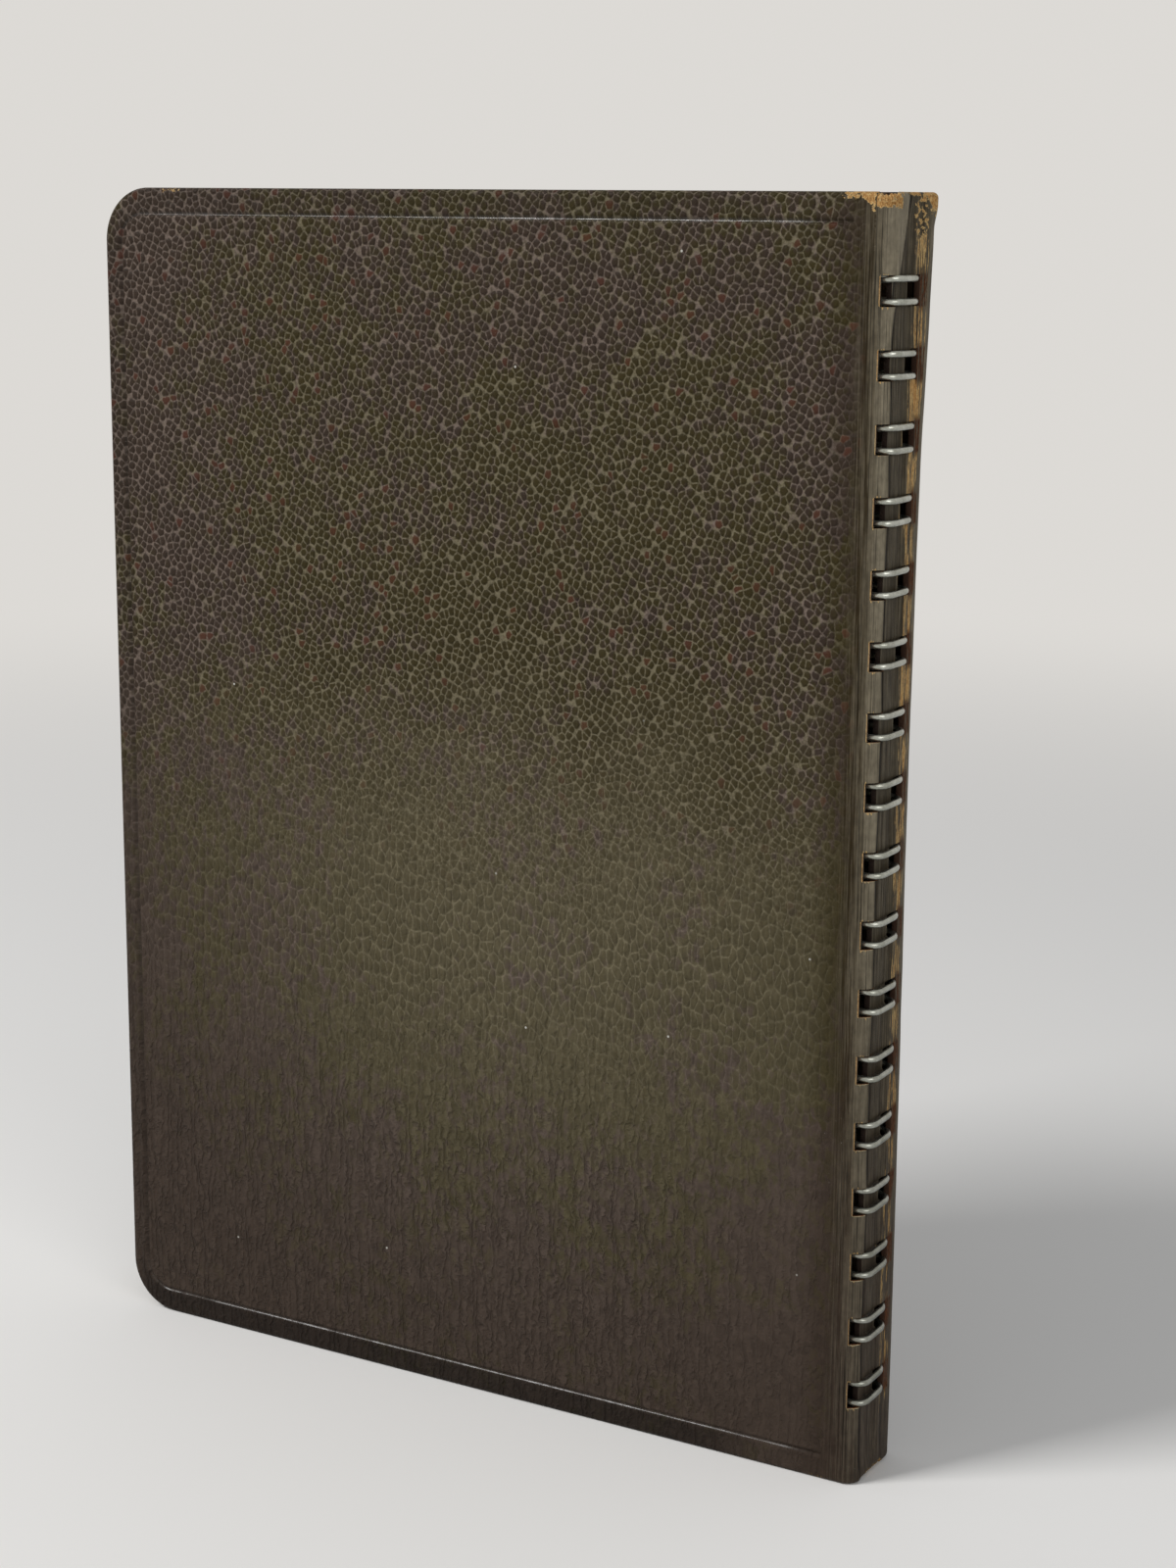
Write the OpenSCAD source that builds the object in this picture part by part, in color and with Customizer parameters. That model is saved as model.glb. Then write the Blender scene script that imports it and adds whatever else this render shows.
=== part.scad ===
// Wire-bound book standing on its tail edge. A leather cover with rounded corners wraps around the
// spine and is slotted there in two rows. A twin-loop wire passes out of one row and into the other,
// and carries both the cover and the page block.
// Book coordinates: x runs from the fore-edge to the spine, y from the back cover's outer face to
// the front cover's, and z from the tail to the head. The last step centres the book on its base.

/* [Cover] */
// Height of the cover, tail to head
cover_height = 238; // [180:0.5:300]
// Width of the closed book, fore-edge to the leather of the spine
cover_width = 172.2; // [120:0.1:220]
// Thickness of the closed book over both covers
book_thickness = 17.6; // [16:0.1:26]
// Radius of the two rounded corners of each cover
corner_radius = 10.5; // [6:0.1:20]
// Outer radius of the leather where it folds round the spine
fold_radius = 3.2; // [2.6:0.1:3.8]
// Thickness of the leather
leather = 1.1; // [0.9:0.05:1.4]
// Thickness of the board inside each cover
board = 1.5; // [1:0.1:2]
// Thickness of the leather where it is pared and turned in over the board
turn_in = 0.5; // [0.3:0.05:0.7]
// Width of the turned-in leather inside each cover
turn_in_width = 14; // [11:0.5:25]
// Thickness of the lining pasted inside each cover
lining = 0.3; // [0.2:0.05:0.5]
// Bare turned-in leather left between the cover's edge and the lining
lining_margin = 4; // [3:0.1:8]
// Radius at which the leather rolls over the cover's edges
edge_round = 1; // [0.6:0.1:1.4]
// Open line between the leather that swings with a cover and the leather of the spine
hinge_gap = 0.2; // [0.1:0.05:0.4]

/* [Pressed line] */
// Distance of the pressed line from the cover's head and tail edges
crease_inset = 4.7; // [3.5:0.1:5.8]
// Distance of the pressed line from the cover's fore-edge
crease_fore_inset = 3.8; // [3:0.1:5.8]
// Width of the pressed line
crease_width = 0.7; // [0.4:0.1:1.2]
// Depth of the pressed line
crease_depth = 0.3; // [0.1:0.05:0.5]
// Distance before the spine fold at which the pressed line ends
crease_stop = 4; // [3:0.5:12]

/* [Pages] */
// Distance of the page block from the cover's tail edge
tail_overhang = 5.4; // [3:0.1:9]
// Distance of the page block from the cover's head edge
head_overhang = 4; // [3:0.1:9]
// Distance of the page block from the cover's fore-edge
fore_overhang = 5.2; // [3:0.1:9]
// Radius of the page block's two fore-edge corners
page_corner = 6; // [1:0.5:12]
// Free space between the back cover's lining and the last page
back_play = 0.2; // [0.1:0.05:0.4]
// Paper between the wire's holes and the spine edge of the pages
hole_margin = 3; // [2:0.1:3.6]

/* [Wire] */
// Diameter of the wire
wire_d = 1.2; // [1:0.05:1.3]
// Distance from one pair of wire legs to the next
pitch = 12.7; // [10.5:0.1:16]
// Distance between the two legs of a pair, centre to centre
leg_spacing = 3.9; // [3.4:0.1:4.4]
// Paper left above the top loop and below the bottom loop, at the least
end_margin = 9; // [7:0.5:12]
// Height by which the wire stands out of the spine leather
wire_proud = 0.9; // [0.7:0.05:1.4]
// Radius of the wire's bend at the back slots, on its centre line
back_bend_radius = 2.1; // [1.8:0.05:2.4]
// Radius of the wire's bend at the front slots, on its centre line
front_bend_radius = 4.5; // [4:0.1:5]
// Depth of the closed wire loop, from the spine into the pages, on its centre line
loop_depth = 14; // [13:0.1:17]
// Free space between the first page and the wire that runs over it
loop_play = 0.6; // [0.4:0.05:1.5]
// Free space between the wire's tips and the wire's bars where the loop closes
seam_gap = 0.4; // [0.2:0.05:0.6]
// Radius at which each leg turns into the bar to the next pair
elbow_radius = 1; // [0.8:0.05:1.3]
// Free space between the wire and the leather beside it
wire_clear = 0.2; // [0.1:0.05:0.3]

/* [Slots] */
// Height of the slots in the leather and of the holes in the pages
slot_height = 5.4; // [5.2:0.1:6.5]
// Angle round the back fold at which the back slots begin
back_slot_angle = 18; // [14:1:22]
// Flat leather between the front slots and the start of the front fold
front_slot_margin = 2.7; // [2.2:0.1:4]
// Width of the leather strip that the wire legs cross, measured along the spine's thickness
strip_width = 6.6; // [5:0.1:6.8]
// Depth by which the wire presses the strip in
strip_inset = 1.2; // [1:0.05:1.4]
// Height over which the strip bends in at each end of a slot
strip_ramp = 0.8; // [0.6:0.05:1]
// Free space between the strip's back edge and the bend of the wire
strip_clear = 0.15; // [0.1:0.05:0.3]

/* [Hidden] */
$fn = 48;

// Colours of the leather, the board, the lining, the paper and the wire
leather_colour = [0.24, 0.21, 0.18];
board_colour = [0.55, 0.50, 0.43];
lining_colour = [0.33, 0.28, 0.23];
paper_colour = [0.93, 0.90, 0.82];
wire_colour = [0.52, 0.53, 0.50];

// A cut runs past the face that it opens by this much
past = 1;
// A hull's rounded edge is drawn at these angles
roll_angles = [0, 30, 60, 90];
// Facets of a circle that is a child of a hull, and of the wire's section
hull_facets = 32;
wire_facets = 16;
// Length of the wire's two cut ends
stub_length = 1.5;
// Free space between the wire and a page hole's edges, and between the wire and the boards
hole_clear = 0.3;
board_clear = 2.4;

// A place on the wire that comes from a root is rounded to an even hundredth of a millimetre
function rounded(value) = round(value * 50) / 50;

// Across the book
fold_x = cover_width - fold_radius;
hinge_x = fold_x - hinge_gap;
wire_r = wire_d / 2;
wire_x = cover_width + wire_proud - wire_r;
strip_x = cover_width - strip_inset;

// Through the thickness
board_face = leather + board;
turn_in_face = board_face + turn_in;
cover_stack = turn_in_face + lining;
page_back = cover_stack + back_play;
slot_end = book_thickness - fold_radius - front_slot_margin;
wire_back = leather + wire_clear + wire_r;
back_bend = [wire_x - back_bend_radius, wire_back + back_bend_radius];

// The front bend clears the front edge of its slot, whose face slants to follow the wire
front_bend_x = wire_x - front_bend_radius;
function front_rise(x) = sqrt(pow(front_bend_radius + wire_r, 2) - pow(x - front_bend_x, 2));
front_bend = [front_bend_x, rounded(slot_end - wire_clear - front_rise(cover_width))];
slot_end_inside = front_bend.y + front_rise(cover_width - leather) + wire_clear;

// The page side of the loop is a half circle that ends level with the two bends
loop_radius = (front_bend.y + front_bend_radius - wire_back) / 2;
loop_centre = [wire_x - loop_depth + loop_radius, wire_back + loop_radius];
page_front = wire_back + 2 * loop_radius - wire_r - loop_play;
bar_x = loop_centre.x + leg_spacing / 2 + wire_d + seam_gap;

// The strip starts where the inside of the wire's back bend has cleared it
inner_bend = back_bend_radius - wire_r;
strip_start = back_bend.y - sqrt(pow(inner_bend, 2) - pow(strip_x - back_bend.x, 2)) + strip_clear;

// The holes in the pages hold the part of the half circle that lies between the two outer pages
page_reach = max(loop_centre.y - page_back, page_front - loop_centre.y);
hole_left = loop_centre.x - loop_radius - wire_r - hole_clear;
hole_right = loop_centre.x - sqrt(pow(loop_radius - wire_r, 2) - pow(page_reach, 2)) + hole_clear;
page_edge = hole_right + hole_margin;
board_edge = loop_centre.x - loop_radius - wire_r - board_clear;

// Up the book
page_height = cover_height - tail_overhang - head_overhang;
loops = floor((page_height - 2 * end_margin) / pitch) + 1;
first_loop = tail_overhang + (page_height - (loops - 1) * pitch) / 2;
loop_heights = [for (i = [0 : loops - 1]) first_loop + i * pitch];

// Centre of the base, which becomes the origin
base_centre = [(wire_x + wire_r) / 2, book_thickness / 2, 0];

// A cover seen face on, drawn inside the cover's edge by inset and cut square at x = right
module cover_outline(inset, right) {
    radius = max(corner_radius - inset, 0.5);
    translate([inset + radius, inset])
        square([right - inset - radius, cover_height - 2 * inset]);
    translate([inset, inset + radius])
        square([right - inset, cover_height - 2 * (inset + radius)]);
    for (z = [inset + radius, cover_height - inset - radius])
        translate([inset + radius, z])
            circle(radius);
}

// An upright sheet from depth y0 to depth y1 with the outline of its children
module sheet(y0, y1) {
    translate([0, y1, 0])
        rotate([90, 0, 0])
            linear_extrude(y1 - y0)
                children();
}

// The groove pressed along the cover's three free edges, open towards the spine
module pressed_line() {
    shift = crease_fore_inset - crease_inset;
    sheet(-past, crease_depth)
        translate([shift, 0])
            difference() {
                cover_outline(crease_inset, fold_x - crease_stop - shift);
                cover_outline(crease_inset + crease_width, cover_width);
            }
}

// The leather of one cover with its turned-in edges, and the space for the board and lining
module cover_leather() {
    difference() {
        hull()
            for (angle = roll_angles)
                sheet(edge_round * (1 - cos(angle)), turn_in_face - edge_round * (1 - cos(angle)))
                    cover_outline(edge_round * (1 - sin(angle)), hinge_x, $fn = hull_facets);
        sheet(leather, board_face)
            cover_outline(leather, cover_width);
        sheet(leather, turn_in_face + past)
            translate([board_edge, -past])
                square([cover_width, cover_height + 2 * past]);
        sheet(leather, turn_in_face + past)
            cover_outline(turn_in_width, cover_width);
        pressed_line();
    }
}

module cover_board() {
    sheet(leather, board_face)
        cover_outline(leather, board_edge);
}

// The lining fills the frame of turned-in leather and laps over it
module cover_lining() {
    sheet(board_face, cover_stack)
        cover_outline(turn_in_width, board_edge);
    sheet(turn_in_face, cover_stack)
        cover_outline(lining_margin, board_edge);
}

// The space inside the wrapped spine at a given depth under its outer face, seen from above
module spine_section(depth) {
    intersection() {
        union() {
            for (y = [fold_radius, book_thickness - fold_radius])
                translate([fold_x, y])
                    circle(fold_radius - depth);
            translate([fold_x - past, fold_radius])
                square([fold_radius - depth + past, book_thickness - 2 * fold_radius]);
        }
        translate([fold_x, 0])
            square([fold_radius, book_thickness]);
    }
}

// A point on the back fold at a given radius and angle from its start
function fold_point(radius, angle) =
    [fold_x + radius * sin(angle), fold_radius - radius * cos(angle)];

// One slot opening, from the back fold over the spine to the end of the front slot
module slot_opening() {
    inside_x = strip_x - leather;
    linear_extrude(slot_height, center = true)
        polygon([fold_point(fold_radius + past, back_slot_angle),
                 fold_point(fold_radius - leather - past, back_slot_angle),
                 [inside_x, fold_radius],
                 [inside_x, slot_end_inside],
                 [cover_width - leather, slot_end_inside],
                 [cover_width, slot_end],
                 [cover_width + past, slot_end],
                 [cover_width + past, -past]]);
}

// The leather strip that stays between a back slot and a front slot, pressed in by the wire
module slot_strip() {
    half = slot_height / 2;
    flat = half - strip_ramp;
    translate([0, strip_start + strip_width, 0])
        rotate([90, 0, 0])
            linear_extrude(strip_width)
                polygon([[cover_width, -half], [strip_x, -flat],
                         [strip_x, flat], [cover_width, half],
                         [cover_width - leather, half], [strip_x - leather, flat],
                         [strip_x - leather, -flat], [cover_width - leather, -half]]);
}

module spine_wrap() {
    difference() {
        linear_extrude(cover_height)
            difference() {
                spine_section(0);
                spine_section(leather);
            }
        for (z = loop_heights)
            translate([0, 0, z])
                slot_opening();
    }
    for (z = loop_heights)
        translate([0, 0, z])
            slot_strip();
}

module pages() {
    straight = page_height - 2 * page_corner;
    difference() {
        translate([0, 0, tail_overhang])
            sheet(page_back, page_front) {
                translate([fore_overhang + page_corner, 0])
                    square([page_edge - fore_overhang - page_corner, page_height]);
                translate([fore_overhang, page_corner])
                    square([page_edge - fore_overhang, straight]);
                for (z = [page_corner, page_height - page_corner])
                    translate([fore_overhang + page_corner, z])
                        circle(page_corner);
            }
        for (z = loop_heights)
            translate([hole_left, page_back - past, z - slot_height / 2])
                cube([hole_right - hole_left, page_front - page_back + 2 * past, slot_height]);
    }
}

// A bend of the wire in its own plane, round the origin from one angle to another
module wire_arc(radius, from, to) {
    rotate([0, 0, from])
        rotate_extrude(angle = to - from, $fn = 4 * hull_facets)
            translate([radius, 0])
                circle(wire_r, $fn = wire_facets);
}

// A straight piece of wire from point a to point b, level
module wire_rod(a, b) {
    step = b - a;
    translate([a.x, a.y, 0])
        rotate([0, 90, atan2(step.y, step.x)])
            cylinder(h = norm(step), r = wire_r, $fn = wire_facets);
}

// An upright bend of the wire, as seen from the back cover
module upright_arc(x, z, radius, from, to) {
    translate([x, wire_back, z])
        rotate([90, 0, 0])
            wire_arc(radius, from, to);
}

// One leg of a pair: from its tip round the pages, over the strip and back to the bar
module wire_leg() {
    translate([loop_centre.x, loop_centre.y, 0])
        wire_arc(loop_radius, 90, 270);
    wire_rod([loop_centre.x, loop_centre.y + loop_radius], [front_bend.x, loop_centre.y + loop_radius]);
    translate([front_bend.x, front_bend.y, 0])
        wire_arc(front_bend_radius, 0, 90);
    wire_rod([wire_x, back_bend.y], [wire_x, front_bend.y]);
    translate([back_bend.x, back_bend.y, 0])
        wire_arc(back_bend_radius, 270, 360);
    wire_rod([bar_x + elbow_radius, wire_back], [back_bend.x, wire_back]);
}

// A pair of legs joined by the tip, with the elbows that lead to the bars
module wire_pair() {
    half = leg_spacing / 2;
    for (z = [-half, half])
        translate([0, 0, z])
            wire_leg();
    upright_arc(loop_centre.x, 0, half, -90, 90);
    upright_arc(bar_x + elbow_radius, half + elbow_radius, elbow_radius, 180, 270);
    upright_arc(bar_x + elbow_radius, -half - elbow_radius, elbow_radius, 90, 180);
}

// An upright piece of wire that starts at the height z
module wire_bar(z, length) {
    translate([bar_x, wire_back, z])
        cylinder(h = length, r = wire_r, $fn = wire_facets);
}

module wire() {
    reach = leg_spacing / 2 + elbow_radius;
    for (z = loop_heights)
        translate([0, 0, z])
            wire_pair();
    for (i = [0 : loops - 2])
        wire_bar(loop_heights[i] + reach, pitch - 2 * reach);
    wire_bar(loop_heights[0] - reach - stub_length, stub_length);
    wire_bar(loop_heights[loops - 1] + reach, stub_length);
}

// Puts a piece of the back cover in the same place in the front cover
module in_front() {
    translate([0, book_thickness, 0])
        mirror([0, 1, 0])
            children();
}

module spine_leather() {
    color(leather_colour) translate(-base_centre) spine_wrap();
}

module back_cover_leather() {
    color(leather_colour) translate(-base_centre) cover_leather();
}

module back_cover_board() {
    color(board_colour) translate(-base_centre) cover_board();
}

module back_cover_lining() {
    color(lining_colour) translate(-base_centre) cover_lining();
}

module front_cover_leather() {
    color(leather_colour) translate(-base_centre) in_front() cover_leather();
}

module front_cover_board() {
    color(board_colour) translate(-base_centre) in_front() cover_board();
}

module front_cover_lining() {
    color(lining_colour) translate(-base_centre) in_front() cover_lining();
}

module page_block() {
    color(paper_colour) translate(-base_centre) pages();
}

module twin_loop_wire() {
    color(wire_colour) translate(-base_centre) wire();
}

spine_leather();
back_cover_leather();
back_cover_board();
back_cover_lining();
front_cover_leather();
front_cover_board();
front_cover_lining();
page_block();
twin_loop_wire();
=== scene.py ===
"""Wire-bound book with a wraparound leather cover, standing on its tail edge.

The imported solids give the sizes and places. The leather, the wire and the leaves are put in their
place as finer surfaces, and every piece gets its finish.

Surfaces are worked out in book millimetres: x runs from the fore-edge to the spine, y from the back
cover's outer face to the front cover's, and z from the tail to the head. Book.place turns them into
the frame's metres. The chart is a UV map in millimetres too: it unrolls the leather round the spine,
so that the grain runs on from one piece to the next.
"""
import logging
from dataclasses import dataclass, field
from enum import Enum

import bmesh
import bpy
import numpy as np
from mathutils import Matrix, Vector

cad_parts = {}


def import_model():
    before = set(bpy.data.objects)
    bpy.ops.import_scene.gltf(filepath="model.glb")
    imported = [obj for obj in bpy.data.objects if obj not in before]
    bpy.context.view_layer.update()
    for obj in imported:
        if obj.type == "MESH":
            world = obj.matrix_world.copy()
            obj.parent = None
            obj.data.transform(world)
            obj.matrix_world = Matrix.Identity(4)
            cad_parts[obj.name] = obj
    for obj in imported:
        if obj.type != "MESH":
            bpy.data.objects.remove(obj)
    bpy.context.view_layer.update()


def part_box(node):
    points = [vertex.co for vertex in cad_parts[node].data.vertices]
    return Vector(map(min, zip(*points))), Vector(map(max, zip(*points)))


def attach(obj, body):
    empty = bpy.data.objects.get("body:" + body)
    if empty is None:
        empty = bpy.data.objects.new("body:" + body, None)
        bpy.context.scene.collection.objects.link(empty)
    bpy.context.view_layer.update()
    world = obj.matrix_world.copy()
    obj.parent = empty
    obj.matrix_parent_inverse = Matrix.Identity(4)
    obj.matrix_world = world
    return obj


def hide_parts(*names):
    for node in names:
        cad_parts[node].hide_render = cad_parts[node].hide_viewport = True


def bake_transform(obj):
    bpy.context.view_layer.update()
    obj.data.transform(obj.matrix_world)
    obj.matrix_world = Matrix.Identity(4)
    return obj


LOG = logging.getLogger("book")
MM = 0.001
CHART = "chart"
NEAR = 1e-6
QUARTER = 0.5 * np.pi
Colour = tuple[float, float, float]


class Body(Enum):
    """The three bodies that the book moves as."""

    BINDING = "binding"
    BACK = "back_cover"
    FRONT = "front_cover"


class Slot(Enum):
    """The record's material slots."""

    LEATHER = "leather"
    BOARD = "board"
    LINING = "lining"
    PAPER = "paper"
    WIRE = "wire"


def smoothstep(value: np.ndarray, low: float, high: float) -> np.ndarray:
    """Rises from 0 at low to 1 at high as 3t squared less 2t cubed."""
    t = np.clip((np.asarray(value, float) - low) / (high - low), 0.0, 1.0)
    return t * t * (3.0 - 2.0 * t)


def bell(value: np.ndarray, centre: np.ndarray | float, width: float) -> np.ndarray:
    """A Gaussian hump of height 1: e to the minus squared distance from the centre over the width."""
    return np.exp(-(((np.asarray(value, float) - centre) / width) ** 2))


def band(value: np.ndarray, low: float, high: float, soft: float) -> np.ndarray:
    """Is 1 between low and high and falls smoothly to 0 over the soft distance outside them."""
    return smoothstep(value, low - soft, low) * (1.0 - smoothstep(value, high, high + soft))


def fall(value: np.ndarray, low: float, high: float) -> np.ndarray:
    """Falls smoothly from 1 at low to 0 at high."""
    return 1.0 - smoothstep(value, low, high)


def ripple(u: np.ndarray, v: np.ndarray, wave: float, seed: int) -> np.ndarray:
    """A smooth random field from -1 to 1: the mean of eight sine waves with random directions.

    Args:
        u: First coordinate.
        v: Second coordinate.
        wave: Mean wavelength, in the coordinates' unit.
        seed: Seed of the random directions and phases.

    Returns:
        The field at each point.
    """
    random = np.random.default_rng(seed)
    total = np.zeros(np.broadcast(u, v).shape)
    waves = 8
    for angle, phase, stretch in random.uniform(0.0, 1.0, (waves, 3)):
        pace = 2.0 * np.pi / (wave * (0.6 + 0.9 * stretch))
        turn = 2.0 * np.pi * angle
        total += np.sin(pace * (u * np.cos(turn) + v * np.sin(turn)) + 2.0 * np.pi * phase)
    return total / waves


def spread(stops: list[float], step: float) -> np.ndarray:
    """Places from the first stop to the last, with every stop among them and at most a step apart.

    Args:
        stops: Rising values that have to be among the places.
        step: The largest distance between neighbouring places.

    Returns:
        The rising places.
    """
    runs = [np.linspace(a, b, max(int(np.ceil((b - a) / step)), 1) + 1)[:-1]
            for a, b in zip(stops[:-1], stops[1:])]
    return np.concatenate(runs + [np.array(stops[-1:])])


def upright(flat: np.ndarray, y: np.ndarray | float) -> np.ndarray:
    """Points at a depth y, from points whose last axis is x and z."""
    return np.stack([flat[..., 0], np.broadcast_to(y, flat.shape[:-1]), flat[..., 1]], axis=-1)


def painted_fold_sheen(from_fold: np.ndarray, z: np.ndarray) -> tuple[np.ndarray, np.ndarray]:
    """The painted sheen on the leather's folds: a pale colour that stands in for the light on the bend.

    Args:
        from_fold: Distance along the leather past the fold's start.
        z: Height above the tail.

    Returns:
        The painted sheen's strength at that height, and how pale it makes the leather towards the fold.
    """
    strength = (0.58 + 0.42 * smoothstep(z, 10.0, 190.0)) * (0.25 + 0.75 * smoothstep(z, 3.0, 20.0))
    return strength, 0.85 * strength * smoothstep(from_fold, -1.8, 3.2) ** 1.2


@dataclass(frozen=True)
class Book:
    """Sizes of the whole book, in millimetres, and its place in the frame."""

    origin: np.ndarray
    height: float
    width: float
    thickness: float
    hinge_x: float
    fold_x: float
    stack: float
    leather: float
    board_face: float
    board_edge: float
    page_low: np.ndarray
    page_high: np.ndarray
    wire_low: np.ndarray
    wire_high: np.ndarray
    corner_radius: float = 10.5
    edge_round: float = 1.0
    turn_in_width: float = 14.0
    pitch: float = 12.7
    leg_spacing: float = 3.9
    wire_d: float = 1.2
    slot_height: float = 5.4
    loops: int = 17

    @classmethod
    def from_frame(cls) -> "Book":
        """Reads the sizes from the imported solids' boxes, turned into book millimetres.

        Returns:
            The book.
        """
        nodes = ("back_cover_leather", "spine_leather", "back_cover_board", "page_block", "twin_loop_wire")
        origin = np.array(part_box(nodes[0])[0]) / MM
        cover, spine, board, page, wire = (np.array(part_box(node)) / MM - origin for node in nodes)
        return cls(origin=origin, height=cover[1, 2], width=spine[1, 0], thickness=spine[1, 1],
                   hinge_x=cover[1, 0], fold_x=spine[0, 0], stack=cover[1, 1], leather=board[0, 1],
                   board_face=board[1, 1], board_edge=board[1, 0], page_low=page[0],
                   page_high=page[1], wire_low=wire[0], wire_high=wire[1])

    @property
    def fold_radius(self) -> float:
        """Outer radius of the leather's two folds."""
        return self.width - self.fold_x

    @property
    def fold_length(self) -> float:
        """Length of the leather's outer face round one fold."""
        return QUARTER * self.fold_radius

    @property
    def spine_length(self) -> float:
        """Length of the leather's outer face from one fold's start to the other's end."""
        return 2.0 * self.fold_length + self.thickness - 2.0 * self.fold_radius

    @property
    def chart_length(self) -> float:
        """Length of the unrolled leather from the back cover's fore-edge to the front cover's."""
        return 2.0 * self.fold_x + self.spine_length

    @property
    def loop_heights(self) -> np.ndarray:
        """Heights of the middles of the wire's loops."""
        middle = 0.5 * (self.page_low[2] + self.page_high[2])
        return middle + self.pitch * (np.arange(self.loops) - 0.5 * (self.loops - 1))

    def from_loop(self, z: np.ndarray) -> np.ndarray:
        """Distance of each height from the middle of the nearest loop."""
        return np.abs(z[:, None] - self.loop_heights[None]).min(axis=1)

    def stops(self, offsets: tuple[float, ...], low: float, high: float) -> list[float]:
        """Two ends, and between them the same offsets from the middle of every loop."""
        return [low, *(height + offset for height in self.loop_heights for offset in offsets), high]

    def place(self, points: np.ndarray) -> np.ndarray:
        """Turns book millimetres into the frame's metres."""
        return (np.asarray(points, float) + self.origin) * MM


@dataclass
class Sheet:
    """A grid of points, with its chart and its fields of wear and of painted light and shade.

    points is (rows, columns, 3) in book millimetres, chart is (rows, columns, 2), and each field is
    (rows, columns) with values from 0 to 1. keep says which quads are there.
    """

    points: np.ndarray
    chart: np.ndarray
    fields: dict[str, np.ndarray] = field(default_factory=dict)
    keep: np.ndarray | None = None
    flip: bool = False

    def quads(self) -> np.ndarray:
        """Corner numbers of the kept quads, counted along the rows.

        Returns:
            The corner numbers (n, 4).
        """
        rows, columns = self.points.shape[:2]
        first = np.arange(rows * columns).reshape(rows, columns)
        corners = [first[:-1, :-1], first[1:, :-1], first[1:, 1:], first[:-1, 1:]]
        quads = np.stack(corners[::-1] if self.flip else corners, axis=-1)
        return quads.reshape(-1, 4) if self.keep is None else quads[self.keep]


@dataclass(frozen=True)
class Shell:
    """Sheets that are joined into one mesh object with welded edges."""

    name: str
    book: Book
    sheets: list[Sheet]
    field_names: tuple[str, ...] = ()
    weld_distance: float = 2e-6
    crease_angle: float = 40.0

    def build(self, materials: list[bpy.types.Material], closed: bool = True) -> bpy.types.Object:
        """Puts the sheets into a mesh and welds them.

        Args:
            materials: The object's materials. Every face has the first.
            closed: Whether the shell is closed, so that its faces can be turned outwards.

        Returns:
            The new mesh object, linked to the scene, at the origin.
        """
        starts = np.cumsum([0] + [sheet.points[..., 0].size for sheet in self.sheets])
        quads = np.concatenate([sheet.quads() + start for sheet, start in zip(self.sheets, starts)])
        points = np.concatenate([sheet.points.reshape(-1, 3) for sheet in self.sheets])
        charts = np.concatenate([sheet.chart.reshape(-1, 2) for sheet in self.sheets])
        mesh = bpy.data.meshes.new(self.name)
        mesh.vertices.add(len(points))
        mesh.vertices.foreach_set("co", self.book.place(points).astype(np.float32).ravel())
        mesh.loops.add(quads.size)
        mesh.loops.foreach_set("vertex_index", quads.astype(np.int32).ravel())
        mesh.polygons.add(len(quads))
        mesh.polygons.foreach_set("loop_start", np.arange(0, quads.size, 4, dtype=np.int32))
        chart = mesh.uv_layers.new(name=CHART)
        chart.uv.foreach_set("vector", charts[quads.ravel()].astype(np.float32).ravel())
        for name in self.field_names:
            values = [np.broadcast_to(sheet.fields.get(name, 0.0), sheet.points.shape[:2]).ravel()
                      for sheet in self.sheets]
            layer = mesh.attributes.new(name, "FLOAT", "POINT")
            layer.data.foreach_set("value", np.concatenate(values).astype(np.float32))
        mesh.update(calc_edges=True)
        mesh.validate()
        self._weld(mesh, closed)
        mesh.polygons.foreach_set("use_smooth", np.ones(len(mesh.polygons), bool))
        mesh.set_sharp_from_angle(angle=np.radians(self.crease_angle))
        for material in materials:
            mesh.materials.append(material)
        piece = bpy.data.objects.new(self.name, mesh)
        bpy.context.scene.collection.objects.link(piece)
        return piece

    def _weld(self, mesh: bpy.types.Mesh, closed: bool) -> None:
        """Merges the points that sheets share, drops loose ones and turns a closed shell outwards.

        Args:
            mesh: The mesh, which is changed.
            closed: Whether it is closed.
        """
        work = bmesh.new()
        work.from_mesh(mesh)
        bmesh.ops.remove_doubles(work, verts=work.verts, dist=self.weld_distance)
        loose = [point for point in work.verts if not point.link_faces]
        bmesh.ops.delete(work, geom=loose, context="VERTS")
        if closed:
            bmesh.ops.recalc_face_normals(work, faces=work.faces)
        work.to_mesh(mesh)
        work.free()


@dataclass(frozen=True)
class PressedLine:
    """The groove pressed along a cover's free edges."""

    from_fore_edge: float = 4.15
    from_ends: float = 5.05
    half_width: float = 0.34
    depth: float = 0.34
    lip: float = 0.07
    lip_place: float = 0.85
    lip_width: float = 0.35
    stop: float = 4.0

    def inset(self, outward_x: np.ndarray) -> np.ndarray:
        """Distance of the groove's middle from the edge, where the edge faces out along x by that much."""
        return self.from_ends + (self.from_fore_edge - self.from_ends) * outward_x**2

    def drop(self, offset: np.ndarray) -> np.ndarray:
        """Depth under the face at an offset from the middle: a hollow bell between two low humps."""
        humps = self.lip * bell(np.abs(offset), self.lip_place, self.lip_width)
        return self.depth * bell(offset, 0.0, self.half_width) - humps


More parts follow.
